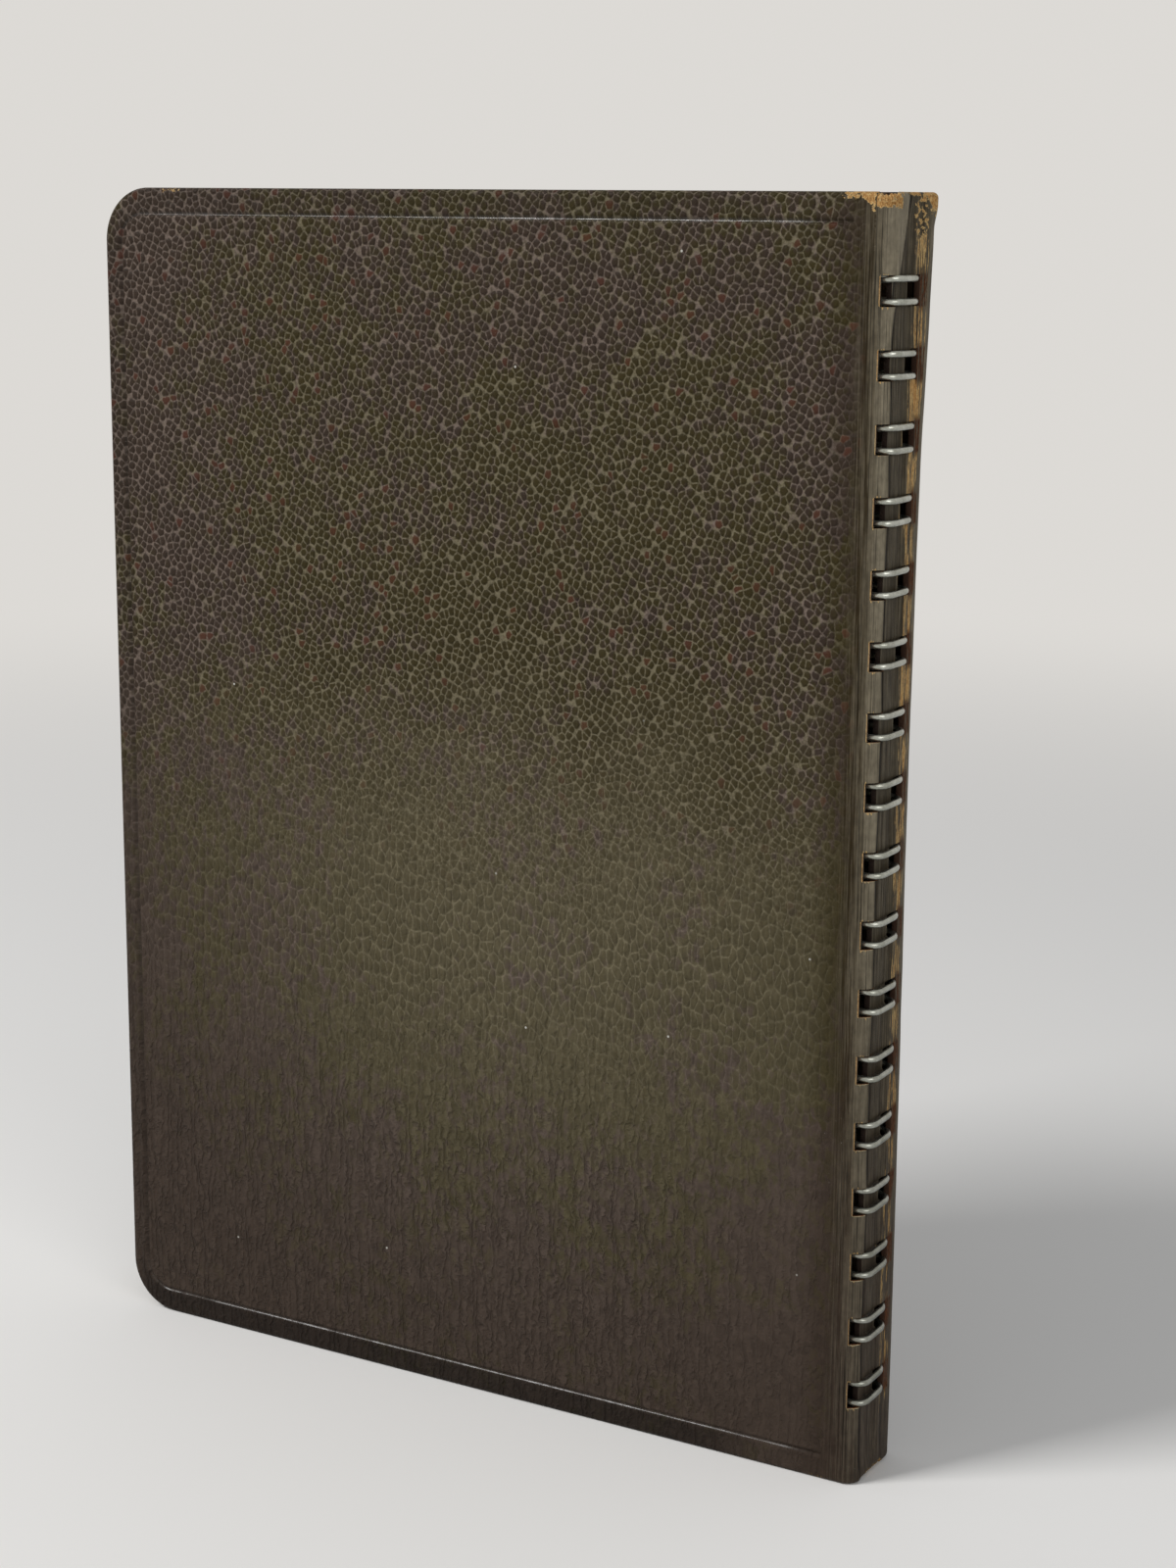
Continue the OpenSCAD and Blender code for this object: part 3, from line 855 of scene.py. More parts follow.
@dataclass(frozen=True)
class TwinLoopWire:
    """The one steel wire, bent into double loops that close between the last page and the cover."""

    book: Book
    seed: int
    back_bend: float = 2.1
    front_bend: float = 4.5
    elbow: float = 1.0
    seam_gap: float = 0.4
    stub: float = 1.5
    sides: int = 14

    @property
    def radius(self) -> float:
        """Radius of the wire."""
        return 0.5 * self.book.wire_d

    @property
    def spine_x(self) -> float:
        """Where the legs pass over the spine."""
        return self.book.wire_high[0] - self.radius

    @property
    def back_y(self) -> float:
        """Where the legs and the bars pass behind the back cover."""
        return self.book.wire_low[1] + self.radius

    @property
    def loop_radius(self) -> float:
        """Radius of the loops through the pages."""
        return 0.5 * (self.book.wire_high[1] - self.book.wire_low[1]) - self.radius

    @property
    def loop_x(self) -> float:
        """Where the middles of the loops are."""
        return self.book.wire_low[0] + self.radius + self.loop_radius

    @property
    def bar_x(self) -> float:
        """Where the bars from one loop to the next are."""
        return self.loop_x + 0.5 * self.book.leg_spacing + self.book.wire_d + self.seam_gap

    @staticmethod
    def arc(centre: tuple[float, float], radius: float, start: float, end: float, steps: int) -> np.ndarray:
        """Points on an arc: the centre plus the radius times cosine and sine of the angle."""
        angle = np.radians(np.linspace(start, end, steps + 1))
        return np.stack([centre[0] + radius * np.cos(angle), centre[1] + radius * np.sin(angle)], -1)

    def leg(self) -> np.ndarray:
        """One leg seen from above, from its elbow over the spine and round the pages to its tip.

        Returns:
            The points (n, 2) as x and y.
        """
        top = self.back_y + 2.0 * self.loop_radius
        back = (self.spine_x - self.back_bend, self.back_y + self.back_bend)
        front = (self.spine_x - self.front_bend, top - self.front_bend)
        loop = (self.loop_x, self.back_y + self.loop_radius)
        return np.concatenate([[[self.bar_x + self.elbow, self.back_y]],
                               self.arc(back, self.back_bend, 270.0, 360.0, 10),
                               self.arc(front, self.front_bend, 0.0, 90.0, 14),
                               self.arc(loop, self.loop_radius, 90.0, 270.0, 28)])

    def pair(self) -> np.ndarray:
        """The wire of one double loop round z = 0, from the bar below it to the bar above it.

        Returns:
            The points (n, 3).
        """
        half, leg, elbow_x = 0.5 * self.book.leg_spacing, self.leg(), self.bar_x + self.elbow
        tip = self.arc((self.loop_x, 0.0), half, -90.0, 90.0, 10)[1:-1]
        below = self.arc((elbow_x, -half - self.elbow), self.elbow, 180.0, 90.0, 6)[:-1]
        above = self.arc((elbow_x, half + self.elbow), self.elbow, 270.0, 180.0, 6)[1:]
        below, tip, above = (upright(flat, self.back_y) for flat in (below, tip, above))
        return np.concatenate([below, np.insert(leg, 2, -half, axis=1), tip,
                               np.insert(leg[::-1], 2, half, axis=1), above])

    def path(self) -> np.ndarray:
        """The whole wire, with its loops a little uneven, and a cut stub at each end.

        Returns:
            The points (n, 3).
        """
        random = np.random.default_rng(self.seed)
        pair = self.pair()
        over_spine = smoothstep(pair[:, 0], self.bar_x + 2.0, self.spine_x)
        loops = []
        for height in self.book.loop_heights:
            lean, shift, squeeze = random.normal(0.0, 1.0, 3)
            loop = pair.copy()
            push = 0.07 * shift + 0.06 * squeeze * np.sign(loop[:, 2])
            loop[:, 2] += over_spine * (push + 0.012 * lean * (loop[:, 1] - self.back_y)) + height
            loops.append(loop)
        stub = np.array([0.0, 0.0, self.stub])
        return np.concatenate([loops[0][:1] - stub, *loops, loops[-1][-1:] + stub])

    def build(self, steel: bpy.types.Material) -> bpy.types.Object:
        """Makes the piece: a circle carried along the path.

        Each ring lies across the path's direction. Its first axis is the part of a fixed reference
        that is square to that direction, which no stretch of the wire runs along.

        Args:
            steel: Its material.

        Returns:
            The piece.
        """
        path = self.path()
        step = np.gradient(path, axis=0)
        along = step / np.linalg.norm(step, axis=1, keepdims=True)
        reference = np.array([0.0, 1.0, 1.0]) / np.sqrt(2.0)
        first = reference - (along @ reference)[:, None] * along
        first /= np.linalg.norm(first, axis=1, keepdims=True)
        turn = np.linspace(0.0, 2.0 * np.pi, self.sides + 1)
        circle = (np.cos(turn)[None, :, None] * first[:, None]
                  + np.sin(turn)[None, :, None] * np.cross(along, first)[:, None])
        points = path[:, None] + self.radius * circle
        caps = [path[end, None] + 0.0 * points[end] for end in (slice(0, 1), slice(-1, None))]
        points = np.concatenate([caps[0], points, caps[1]])
        length = np.append(0.0, np.cumsum(np.linalg.norm(np.diff(path, axis=0), axis=1)))
        length = np.concatenate([length[:1], length, length[-1:]])
        chart = np.stack(np.broadcast_arrays(length[:, None], self.radius * turn[None]), axis=-1)
        piece = Shell("twin_wire_loops", self.book, [Sheet(points, chart)]).build([steel])
        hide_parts("twin_loop_wire")
        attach(piece, Body.BINDING.value)
        return piece


@dataclass(frozen=True)
class PageLeaves:
    """The page block, with the edges of its leaves and its punched holes."""

    book: Book
    seed: int
    corner: float = 6.0
    hole_clear: float = 0.3
    hole_margin: float = 3.0
    column_step: float = 6.0
    row_step: float = 3.7
    leaf_bundles: int = 26
    unevenness: float = 0.16
    bundle_profile: tuple[float, ...] = (0.08, 0.3, 0.7, 0.92)

    @property
    def hole_left(self) -> float:
        """Side of the holes that is away from the spine."""
        return self.book.wire_low[0] - self.hole_clear

    @property
    def hole_right(self) -> float:
        """Side of the holes that is next to the spine."""
        return self.book.page_high[0] - self.hole_margin

    def outline_grid(self) -> tuple[np.ndarray, np.ndarray]:
        """A grid over one face: columns from the fore-edge to the spine, rows from tail to head.

        In the rounded corners the rows close up, because a column there is shorter.

        Returns:
            The points (rows, columns, 2) as x and z, and which quads are paper.
        """
        book, half = self.book, 0.5 * self.book.slot_height
        low, high = book.page_low, book.page_high
        arc_x = low[0] + self.corner * (1.0 - np.cos(np.linspace(0.0, QUARTER, 9)))
        body = spread([low[0] + self.corner, self.hole_left, self.hole_right, high[0]], self.column_step)
        x = np.concatenate([arc_x[:-1], body])
        short = np.clip(1.0 - (x - low[0]) / self.corner, 0.0, 1.0)
        cut = self.corner * (1.0 - np.sqrt(1.0 - short**2))
        z = spread(book.stops((-half, half), low[2], high[2]), self.row_step)
        share = (z - low[2]) / (high[2] - low[2])
        grid_z = (low[2] + cut)[None] + share[:, None] * (high[2] - low[2] - 2.0 * cut)[None]
        grid = np.stack([np.broadcast_to(x[None], grid_z.shape), grid_z], axis=-1)
        middle_x, middle_z = 0.5 * (x[1:] + x[:-1]), 0.5 * (z[1:] + z[:-1])
        in_hole = (book.from_loop(middle_z) < half)[:, None] & (
            (middle_x > self.hole_left) & (middle_x < self.hole_right))[None]
        return grid, ~in_hole

    def edge(self, grid: np.ndarray) -> Sheet:
        """The block's four edges: the outline carried through the thickness, leaf by leaf.

        Every bundle of leaves is a low rounded ridge, set in or out by a random distance that
        changes slowly along the edge.

        Args:
            grid: The points of one face.

        Returns:
            The sheet round the block.
        """
        low, high = self.book.page_low[1], self.book.page_high[1]
        loop = np.concatenate([grid[0, :-1], grid[:-1, -1], grid[-1, :0:-1], grid[::-1, 0]])
        along = np.roll(loop[:-1], -1, axis=0) - np.roll(loop[:-1], 1, axis=0)
        along /= np.linalg.norm(along, axis=1, keepdims=True)
        outward = np.stack([along[:, 1], -along[:, 0]], axis=-1)
        outward = np.concatenate([outward, outward[:1]])
        bundle = np.repeat(np.arange(self.leaf_bundles), len(self.bundle_profile))
        place = np.tile(self.bundle_profile, self.leaf_bundles)
        ridge = -0.05 * (2.0 * np.abs(place - 0.5)) ** 2
        amount = np.random.default_rng(self.seed).uniform(-1.0, 0.0, self.leaf_bundles)[bundle]
        drift = ripple(bundle[:, None] * 9.0, np.arange(len(loop))[None] * 1.0, 60.0, self.seed)
        inset = ridge[:, None] + self.unevenness * (0.6 * amount[:, None] + 0.25 * (drift - 1.0))
        flat = loop[None] + inset[..., None] * outward[None]
        flat = np.concatenate([loop[None], flat, loop[None]])
        depth = low + (bundle + place) / self.leaf_bundles * (high - low)
        points = upright(flat, np.concatenate([[low], depth, [high]])[:, None])
        return Sheet(points, np.stack([flat.sum(axis=-1), points[..., 1]], axis=-1))

    def walls(self, grid: np.ndarray) -> list[Sheet]:
        """The walls of the holes, each hole's outline carried through the thickness.

        Args:
            grid: The points of one face.

        Returns:
            One sheet for each hole.
        """
        book, half = self.book, 0.5 * self.book.slot_height
        columns, rows = grid[0, :, 0], grid[:, -1, 1]
        inside = columns[(columns > self.hole_left - NEAR) & (columns < self.hole_right + NEAR)]
        sheets = []
        for height in book.loop_heights:
            up = rows[np.abs(rows - height) < half + NEAR]
            runs = [(inside, up[0]), (inside[-1], up), (inside[::-1], up[-1]), (inside[0], up[::-1])]
            sides = [np.stack(np.broadcast_arrays(*run), axis=-1) for run in runs]
            loop = np.concatenate([*(side[:-1] for side in sides), sides[0][:1]])
            points = np.stack([upright(loop, y) for y in (book.page_low[1], book.page_high[1])])
            sheets.append(Sheet(points, points[..., :2].copy()))
        return sheets

    def build(self, paper: bpy.types.Material) -> bpy.types.Object:
        """Makes the piece: two faces with holes, the leaf edges and the holes' walls.

        Args:
            paper: Its material.

        Returns:
            The piece.
        """
        book = self.book
        grid, kept = self.outline_grid()
        levels = (book.page_low[1], book.page_high[1])
        faces = [Sheet(upright(grid, y), grid.copy(), keep=kept) for y in levels]
        sheets = [*faces, self.edge(grid), *self.walls(grid)]
        piece = Shell("page_leaves", book, sheets).build([paper])
        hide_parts("page_block")
        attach(piece, Body.BINDING.value)
        return piece


class Term:
    """A node's output that takes plain arithmetic, each step of which adds a Math node."""

    # A numpy number on the left leaves the arithmetic to the term.
    __array_ufunc__ = None

    def __init__(self, graph: "Graph", socket: bpy.types.NodeSocket) -> None:
        """Keeps the graph and the socket."""
        self.graph = graph
        self.socket = socket

    def __add__(self, other: object) -> "Term":
        """The sum."""
        return self.graph.math("ADD", self, other)

    def __sub__(self, other: object) -> "Term":
        """This less the other."""
        return self.graph.math("SUBTRACT", self, other)

    def __rsub__(self, other: object) -> "Term":
        """The other less this."""
        return self.graph.math("SUBTRACT", other, self)

    def __mul__(self, other: object) -> "Term":
        """The product."""
        return self.graph.math("MULTIPLY", self, other)

    def most(self, other: object) -> "Term":
        """The larger of the two."""
        return self.graph.math("MAXIMUM", self, other)

    def rise(self, low: object, high: object, start: float = 0.0, end: float = 1.0) -> "Term":
        """A smooth step from start, where this is low, to end, where it is high."""
        inputs = {"Value": self, "From Min": low, "From Max": high, "To Min": start, "To Max": end}
        return self.graph.term("ShaderNodeMapRange", inputs, "Result",
                               interpolation_type="SMOOTHSTEP", clamp=True)


class Graph:
    """A node tree that is filled one node at a time."""

    def __init__(self, tree: bpy.types.NodeTree) -> None:
        """Keeps the tree."""
        self.tree = tree

    def node(self, kind: str, inputs: dict | None = None, **settings: object) -> bpy.types.Node:
        """Adds a node.

        Args:
            kind: Its type name.
            inputs: Values or terms for its inputs, by name or number.
            settings: Values for its properties.

        Returns:
            The new node.
        """
        node = self.tree.nodes.new(kind)
        for name, value in settings.items():
            setattr(node, name, value)
        for name, value in (inputs or {}).items():
            self.put(node.inputs[name], value)
        return node

    def term(self, kind: str, inputs: dict | None = None, output: int | str = 0, **settings: object) -> Term:
        """Adds a node and gives one of its outputs."""
        return Term(self, self.node(kind, inputs, **settings).outputs[output])

    def put(self, socket: bpy.types.NodeSocket, value: object) -> None:
        """Links a term to an input socket, or sets the socket's own value.

        Args:
            socket: The input socket.
            value: A term, a number or a tuple of three.
        """
        if isinstance(value, Term):
            self.tree.links.new(value.socket, socket)
        elif socket.type == "RGBA":
            socket.default_value = (*value, 1.0)
        else:
            socket.default_value = value

    def math(self, operation: str, a: object, b: object = 0.5) -> Term:
        """The result of a Math node."""
        return self.term("ShaderNodeMath", {0: a, 1: b}, operation=operation)

    def vector(self, operation: str, a: object, b: object = (0.0, 0.0, 0.0), scale: object = 1.0) -> Term:
        """The result of a Vector Math node, which is a number for a distance or a length."""
        output = "Value" if operation in ("DISTANCE", "LENGTH") else "Vector"
        inputs = {0: a, "Scale": scale} if operation == "SCALE" else {0: a, 1: b}
        return self.term("ShaderNodeVectorMath", inputs, output, operation=operation)

    def split(self, value: object, kind: str = "XYZ") -> list[Term]:
        """The three numbers of a vector or a colour."""
        return [Term(self, output) for output in self.node(f"ShaderNodeSeparate{kind}", {0: value}).outputs]

    def blend(self, share: object, a: object, b: object) -> Term:
        """The number a where the share is 0, and b where it is 1."""
        return self.term("ShaderNodeMix", {0: share, 2: a, 3: b}, data_type="FLOAT")

    def mix(self, share: object, a: object, b: object) -> Term:
        """The colour a where the share is 0, and b where it is 1."""
        return self.term("ShaderNodeMix", {0: share, 6: a, 7: b}, 2, data_type="RGBA")

    def tint(self, colour: object, factor: object) -> Term:
        """A colour times a number, the same for each channel."""
        return self.vector("SCALE", colour, scale=factor)

    def noise(self, vector: object, pace: object, detail: float = 3.0, roughness: float = 0.55,
              output: str = "Fac") -> Term:
        """A noise texture.

        Args:
            vector: Where it is read.
            pace: Its scale, or three scales along the axes for a pattern that is drawn out.
            detail: Its detail.
            roughness: Its roughness.
            output: The output that is used.

        Returns:
            The noise.
        """
        if isinstance(pace, tuple):
            vector, pace = self.vector("MULTIPLY", vector, pace), 1.0
        inputs = {"Vector": vector, "Scale": pace, "Detail": detail, "Roughness": roughness}
        return self.term("ShaderNodeTexNoise", inputs, output)

    def cells(self, inputs: dict[str, object], feature: str) -> bpy.types.Node:
        """A flat Voronoi pattern."""
        return self.node("ShaderNodeTexVoronoi", inputs, voronoi_dimensions="2D", feature=feature)

    def field(self, name: str) -> Term:
        """A float attribute of the mesh."""
        return self.term("ShaderNodeAttribute", None, "Fac", attribute_name=name)

    def chart(self) -> Term:
        """The unrolled leather's coordinates, in millimetres."""
        return self.term("ShaderNodeUVMap", None, "UV", uv_map=CHART)

    def object_mm(self) -> Term:
        """Object coordinates in millimetres."""
        return self.vector("MULTIPLY", self.term("ShaderNodeTexCoord", None, "Object"), (1.0 / MM,) * 3)

    def cover(self, shader: bpy.types.Node, colour: Term, roughness: object, bump: tuple) -> None:
        """Feeds a shader.

        Args:
            shader: The Principled shader.
            colour: Its colour.
            roughness: Its roughness.
            bump: The bump's strength, distance and height.
        """
        self.put(shader.inputs["Base Color"], colour)
        self.put(shader.inputs["Roughness"], roughness)
        inputs = dict(zip(("Strength", "Distance", "Height"), bump))
        self.put(shader.inputs["Normal"], self.term("ShaderNodeBump", inputs, "Normal"))


class GroupMaker:
    """Makes the shader node groups that several finishes share."""

    def __init__(self) -> None:
        """Starts with no groups."""
        self.groups: dict[str, bpy.types.NodeTree] = {}

    @staticmethod
    def _open(name: str, vector: str, numbers: dict[str, float]) -> tuple[Graph, list[Term]]:
        """Starts a group.

        Args:
            name: Its name.
            vector: Name of its first input, a vector.
            numbers: Names and values of its other inputs.

        Returns:
            The group's graph and its inputs.
        """
        group = bpy.data.node_groups.new(name, "ShaderNodeTree")
        group.interface.new_socket(name=vector, in_out="INPUT", socket_type="NodeSocketVector")
        for label, value in numbers.items():
            socket = group.interface.new_socket(name=label, in_out="INPUT", socket_type="NodeSocketFloat")
            socket.default_value = value
        graph = Graph(group)
        outputs = graph.node("NodeGroupInput").outputs
        return graph, [Term(graph, outputs[label]) for label in (vector, *numbers)]

    @staticmethod
    def _close(graph: Graph, results: dict[str, Term]) -> bpy.types.NodeTree:
        """Gives a group an output for each result, a colour or a number.

        Args:
            graph: The group's graph.
            results: Names and terms of its outputs.

        Returns:
            The group.
        """
        for label, value in results.items():
            kind = "NodeSocketColor" if value.socket.type == "RGBA" else "NodeSocketFloat"
            graph.tree.interface.new_socket(name=label, in_out="OUTPUT", socket_type=kind)
        graph.node("NodeGroupOutput", results)
        return graph.tree

    def place(self, graph: Graph, name: str, inputs: dict[str, object]) -> dict[str, Term]:
        """Puts a group into a material, making the group the first time.

        Args:
            graph: The material's graph.
            name: The group's name.
            inputs: Values or terms for its inputs.

        Returns:
            Its outputs by name.
        """
        makers = {"cell_grain": self._cell_grain, "patches": self._patches}
        if name not in self.groups:
            self.groups[name] = makers[name]()
        node = graph.node("ShaderNodeGroup", inputs, node_tree=self.groups[name])
        return {output.name: Term(graph, output) for output in node.outputs}

    def _cell_grain(self) -> bpy.types.NodeTree:
        """Cells of a wandering Voronoi pattern, which differ in size.

        Net is 1 between the cells, whose middles are round and 0. Line is 1 on the thin lines where
        two cells meet, Junction is 1 where three meet, and Halo rises softly from the middle of
        each cell to its edge. The pattern's own rows are turned aslant, so that they don't show.

        Returns:
            The group.
        """
        graph, (chart, across, up, wander, line, disorder, turn) = self._open(
            "cell_grain", "Chart", {"Across": 0.5, "Up": 0.5, "Wander": 0.8, "Line": 0.2,
                                    "Disorder": 0.8, "Turn": 0.0})
        drift = graph.noise(chart, 0.22, 2.0, output="Color")
        shift = graph.vector("SCALE", graph.vector("SUBTRACT", drift, (0.5, 0.5, 0.5)), scale=wander)
        steps = graph.term("ShaderNodeCombineXYZ", {0: across, 1: up})
        cells = graph.vector("MULTIPLY", graph.vector("ADD", chart, shift), steps)
        cells = graph.term("ShaderNodeVectorRotate", {"Vector": cells, "Angle": turn}, rotation_type="Z_AXIS")
        layout = {"Vector": cells, "Scale": 1.0, "Randomness": disorder}
        edge = Term(graph, graph.cells(layout, "DISTANCE_TO_EDGE").outputs["Distance"])
        middle = graph.cells(layout, "F1").outputs
        fine = graph.noise(chart, 1.9, 2.0)
        from_edge = fine * 0.16 + (edge - 0.08)
        from_middle = fine * -0.26 + (Term(graph, middle["Distance"]) + 0.13)
        line = from_edge.rise(0.0, line, 1.0, 0.0)
        return self._close(graph, {"Net": from_middle.rise(0.46, 0.66).most(line), "Line": line,
                                   "Halo": from_middle.rise(0.2, 0.7),
                                   "Junction": from_middle.rise(0.56, 0.78),
                                   "Tone": Term(graph, middle["Color"])})

    def _patches(self) -> bpy.types.NodeTree:
        """Soft patches of two sizes: two noises, each drawn out to use the whole range."""
        graph, (place, pace, fine_pace) = self._open("patches", "Place", {"Pace": 0.03, "Fine pace": 0.5})
        return self._close(graph, {"Broad": graph.noise(place, pace).rise(0.32, 0.68),
                                   "Fine": graph.noise(place, fine_pace).rise(0.35, 0.65)})


@dataclass(frozen=True)
class Grain:
    """The terms that make the leather's grain.

    Attributes:
        net: The light net between the pebbles, 0 on the pebbles.
        factor: What the arches and wrinkles multiply the light dye's share by.
        pebbled: 1 where the pebbles show, 0 where the arches and wrinkles do.
        relief: Height of the skin in millimetres.
        tone: A random colour for each pebble.
    """

    net: Term
    factor: Term
    pebbled: Term
    relief: Term
    tone: Term


@dataclass(frozen=True)
class Finish:
    """A material that its class paints."""

    groups: GroupMaker

    def build(self) -> bpy.types.Material:
        """Makes the material."""
        material, graph, shader = new_material(self.name)
        self.paint(graph, shader)
        return material


@dataclass(frozen=True)
class LeatherFinish(Finish):
    """Dark brown leather, grained on the covers and smooth on the spine, with bare worn places."""

    book: Book
    name: str = "brown pebbled leather"
    olive_dark: Colour = (0.028, 0.021, 0.006)
    olive_light: Colour = (0.131, 0.112, 0.070)
    brown_dark: Colour = (0.029, 0.019, 0.013)
    brown_light: Colour = (0.133, 0.102, 0.083)
    red_cell: Colour = (0.070, 0.021, 0.012)
    smooth_dark: Colour = (0.018, 0.011, 0.003)
    smooth_light: Colour = (0.205, 0.176, 0.124)
    dust: Colour = (0.42, 0.41, 0.37)
    inner_side: Colour = (0.085, 0.055, 0.034)
    FIELDS = ("wear", "soil", "press", "rim", "glint", "pale", "inside", "smooth")

    def paint(self, graph: Graph, shader: bpy.types.Node) -> None:
        """Fills the material's graph.

        Args:
            graph: The graph.
            shader: Its Principled shader.
        """
        chart = graph.chart()
        along, height, _ = graph.split(chart)
        grain = self._grain(graph, chart, along, height)
        fold, front_fold = self.book.fold_x, self.book.fold_x + self.book.spine_length
        on_cover = (along.rise(fold - 5.0, fold - 0.5, 1.0, 0.0)
                    + along.rise(front_fold + 0.5, front_fold + 5.0))
        smooth = 1.0 - on_cover
        streak = graph.noise(chart, (2.2, 0.045, 1.0), 5.0, 0.7)
        # Painted shade: the rim field darkens the band outside the groove.
        colour = graph.tint(self._dyed(graph, chart, grain), graph.field("rim").rise(0.0, 1.0, 1.0, 0.45))
        colour = graph.mix(smooth, colour, self._smooth(graph, chart, height, streak))
        # Painted shade: the press field darkens the groove a little and the spine's creases much more.
        colour = graph.tint(colour, graph.blend(graph.field("press"), 1.0, graph.blend(smooth, 0.8, 0.12)))
        colour, bare = self._bare(graph, chart, height, self._dusted(graph, chart, colour))
        colour = graph.mix(graph.field("inside"), colour, self.inner_side)
        scuffed = graph.noise(chart, 0.35, 4.0, 0.7).rise(0.36, 0.6, 0.35, 1.0)
        graph.put(shader.inputs["Coat Weight"], graph.field("glint") * scuffed)
        shader.inputs["Specular IOR Level"].default_value = 0.08
        shader.inputs["Coat Roughness"].default_value = 0.2

        fibre = graph.noise(chart, (4.0, 4.0, 1.0), 4.0, 0.7)
        relief = streak * smooth * 0.14 + grain.relief * on_cover
        relief = bare * -0.12 + (bare * fibre * 0.25 + (fibre * 0.012 + relief))
        graph.cover(shader, colour, bare * 0.35 + (smooth * -0.06 + 0.56), (1.0, MM, relief))

    def _smooth(self, graph: Graph, chart: Term, height: Term, streak: Term) -> Term:
        """The spine's smooth skin: lightened by the painted sheen and highlights of the pale field, with
        upright streaks and dark scratches.
        """
        pale = graph.field("pale")
        # Painted sheen and highlights: the pale field lightens the colour towards the light one.
        light = streak.rise(0.36, 0.66, -0.06, 0.36) * (pale * -0.55 + 1.0) + pale
        light = light * height.rise(0.0, 130.0, 0.52, 1.0)
        dark = graph.mix(height.rise(10.0, 120.0, 1.0, 0.0), self.smooth_dark, self.brown_dark)
        colour = graph.mix(light, dark, self.smooth_light)
        colour = graph.tint(colour, graph.noise(chart, (0.8, 0.35, 1.0), 4.0, 0.65).rise(0.3, 0.7, 0.78, 1.2))
        scratch = graph.noise(chart, (2.8, 0.03, 1.0), 3.0, 0.6)
        return graph.tint(colour, scratch.rise(0.34, 0.46, 0.35, 1.0))

    def _grain(self, graph: Graph, chart: Term, along: Term, height: Term) -> Grain:
        """Pebbles above, drawn out into tall arches half way down and into fine wrinkles at the tail.

        Args:
            graph: The material's graph.
            chart: The unrolled leather's coordinates.
            along: Their first number.
            height: Height above the tail, in millimetres.

        Returns:
            The parts of the grain. Its factor, for the two lower patterns, has a mean of about 1.
        """
        pebble = self.groups.place(graph, "cell_grain", {"Chart": chart, "Across": 0.70, "Up": 0.62,
                                                         "Wander": 1.0, "Line": 0.17,
                                                         "Disorder": 0.7, "Turn": 0.5})
        arch = self.groups.place(graph, "cell_grain", {"Chart": chart, "Across": 0.66, "Up": 0.34,
                                                       "Wander": 1.5, "Line": 0.13,
                                                       "Disorder": 0.85, "Turn": 0.08})
        wrinkle = self._wrinkle(graph, chart, along)
        wavy = graph.noise(chart, 0.05, 2.0) * 40.0 + height
        pebbled, arched = wavy.rise(110.0, 180.0), wavy.rise(60.0, 120.0)
        broken = graph.noise(chart, 1.5).rise(0.35, 0.65, 0.45, 1.4)
        net = pebble["Junction"] * 0.15 + pebble["Net"] * (broken * 0.72)
        middle = wrinkle * 0.12 + (arch["Net"] * 0.16 + (arch["Line"] * broken * 0.75 + 0.76))
        factor = graph.blend(arched, wrinkle * 0.36 + 1.0, middle)
        relief = graph.blend(arched, wrinkle * 0.24, wrinkle * 0.04 + arch["Halo"] * -0.3)
        relief = graph.blend(pebbled, relief, pebble["Halo"] * -0.26)
        return Grain(net, factor, pebbled, relief, pebble["Tone"])

    @staticmethod
    def _wrinkle(graph: Graph, chart: Term, along: Term) -> Term:
        """Upright wrinkles about 1.6 mm apart, from -1 in the valleys to 1 on the ridges.

        The wave is the sine of the place along the leather, in radians, pushed aside by two noises.

        Args:
            graph: The material's graph.
            chart: The unrolled leather's coordinates.
            along: Their first number.

        Returns:
            The wrinkles.
        """
        bend = graph.noise(chart, (0.25, 0.08, 1.0), 2.0)
        sway = graph.noise(chart, (0.65, 0.62, 1.0))
        phase = sway * 11.0 + (bend * 20.0 + along * 3.9)
        strength = graph.noise(chart, (0.5, 0.22, 1.0)).rise(0.35, 0.62, 0.35, 1.0)
        return graph.math("SINE", phase) * (strength * along.rise(120.0, 160.0, 1.0, 0.5))

    def _dyed(self, graph: Graph, chart: Term, grain: Grain) -> Term:
        """The dye with painted light: a painted sheen makes a cover's middle lighter and more olive, it is
        darker and browner round it, painted shade darkens it before the hinge, and it has red cells.

        Args:
            graph: The material's graph.
            chart: The unrolled leather's coordinates.
            grain: The parts of the grain.

        Returns:
            The colour.
        """
        along, height, _ = graph.split(chart)
        across = graph.math("MINIMUM", along, self.book.chart_length - along)
        place = graph.term("ShaderNodeCombineXYZ", {0: across, 1: height})
        middle = (0.58 * self.book.width, 0.48 * self.book.height, 0.0)
        distance = graph.vector("DISTANCE", place, middle)
        # Painted sheen: lighter in the cover's middle, fading outwards, and a little darker towards the tail.
        light = distance.rise(0.0, 130.0, 0.62, 0.19) + height.rise(30.0, 120.0, -0.04, 0.0)
        upper = grain.net * (light * 0.8 + 0.82)
        share = graph.blend(grain.pebbled, light * grain.factor, upper + 0.02)
        # Painted shade: darker where the cover nears the fold.
        share = share * across.rise(158.0, 166.0, 1.0, 0.25)
        red_tone, tint_tone, brown_tone = graph.split(grain.tone, "Color")
        hue = graph.noise(chart, (0.42, 0.22, 1.0), 3.0, 0.6)
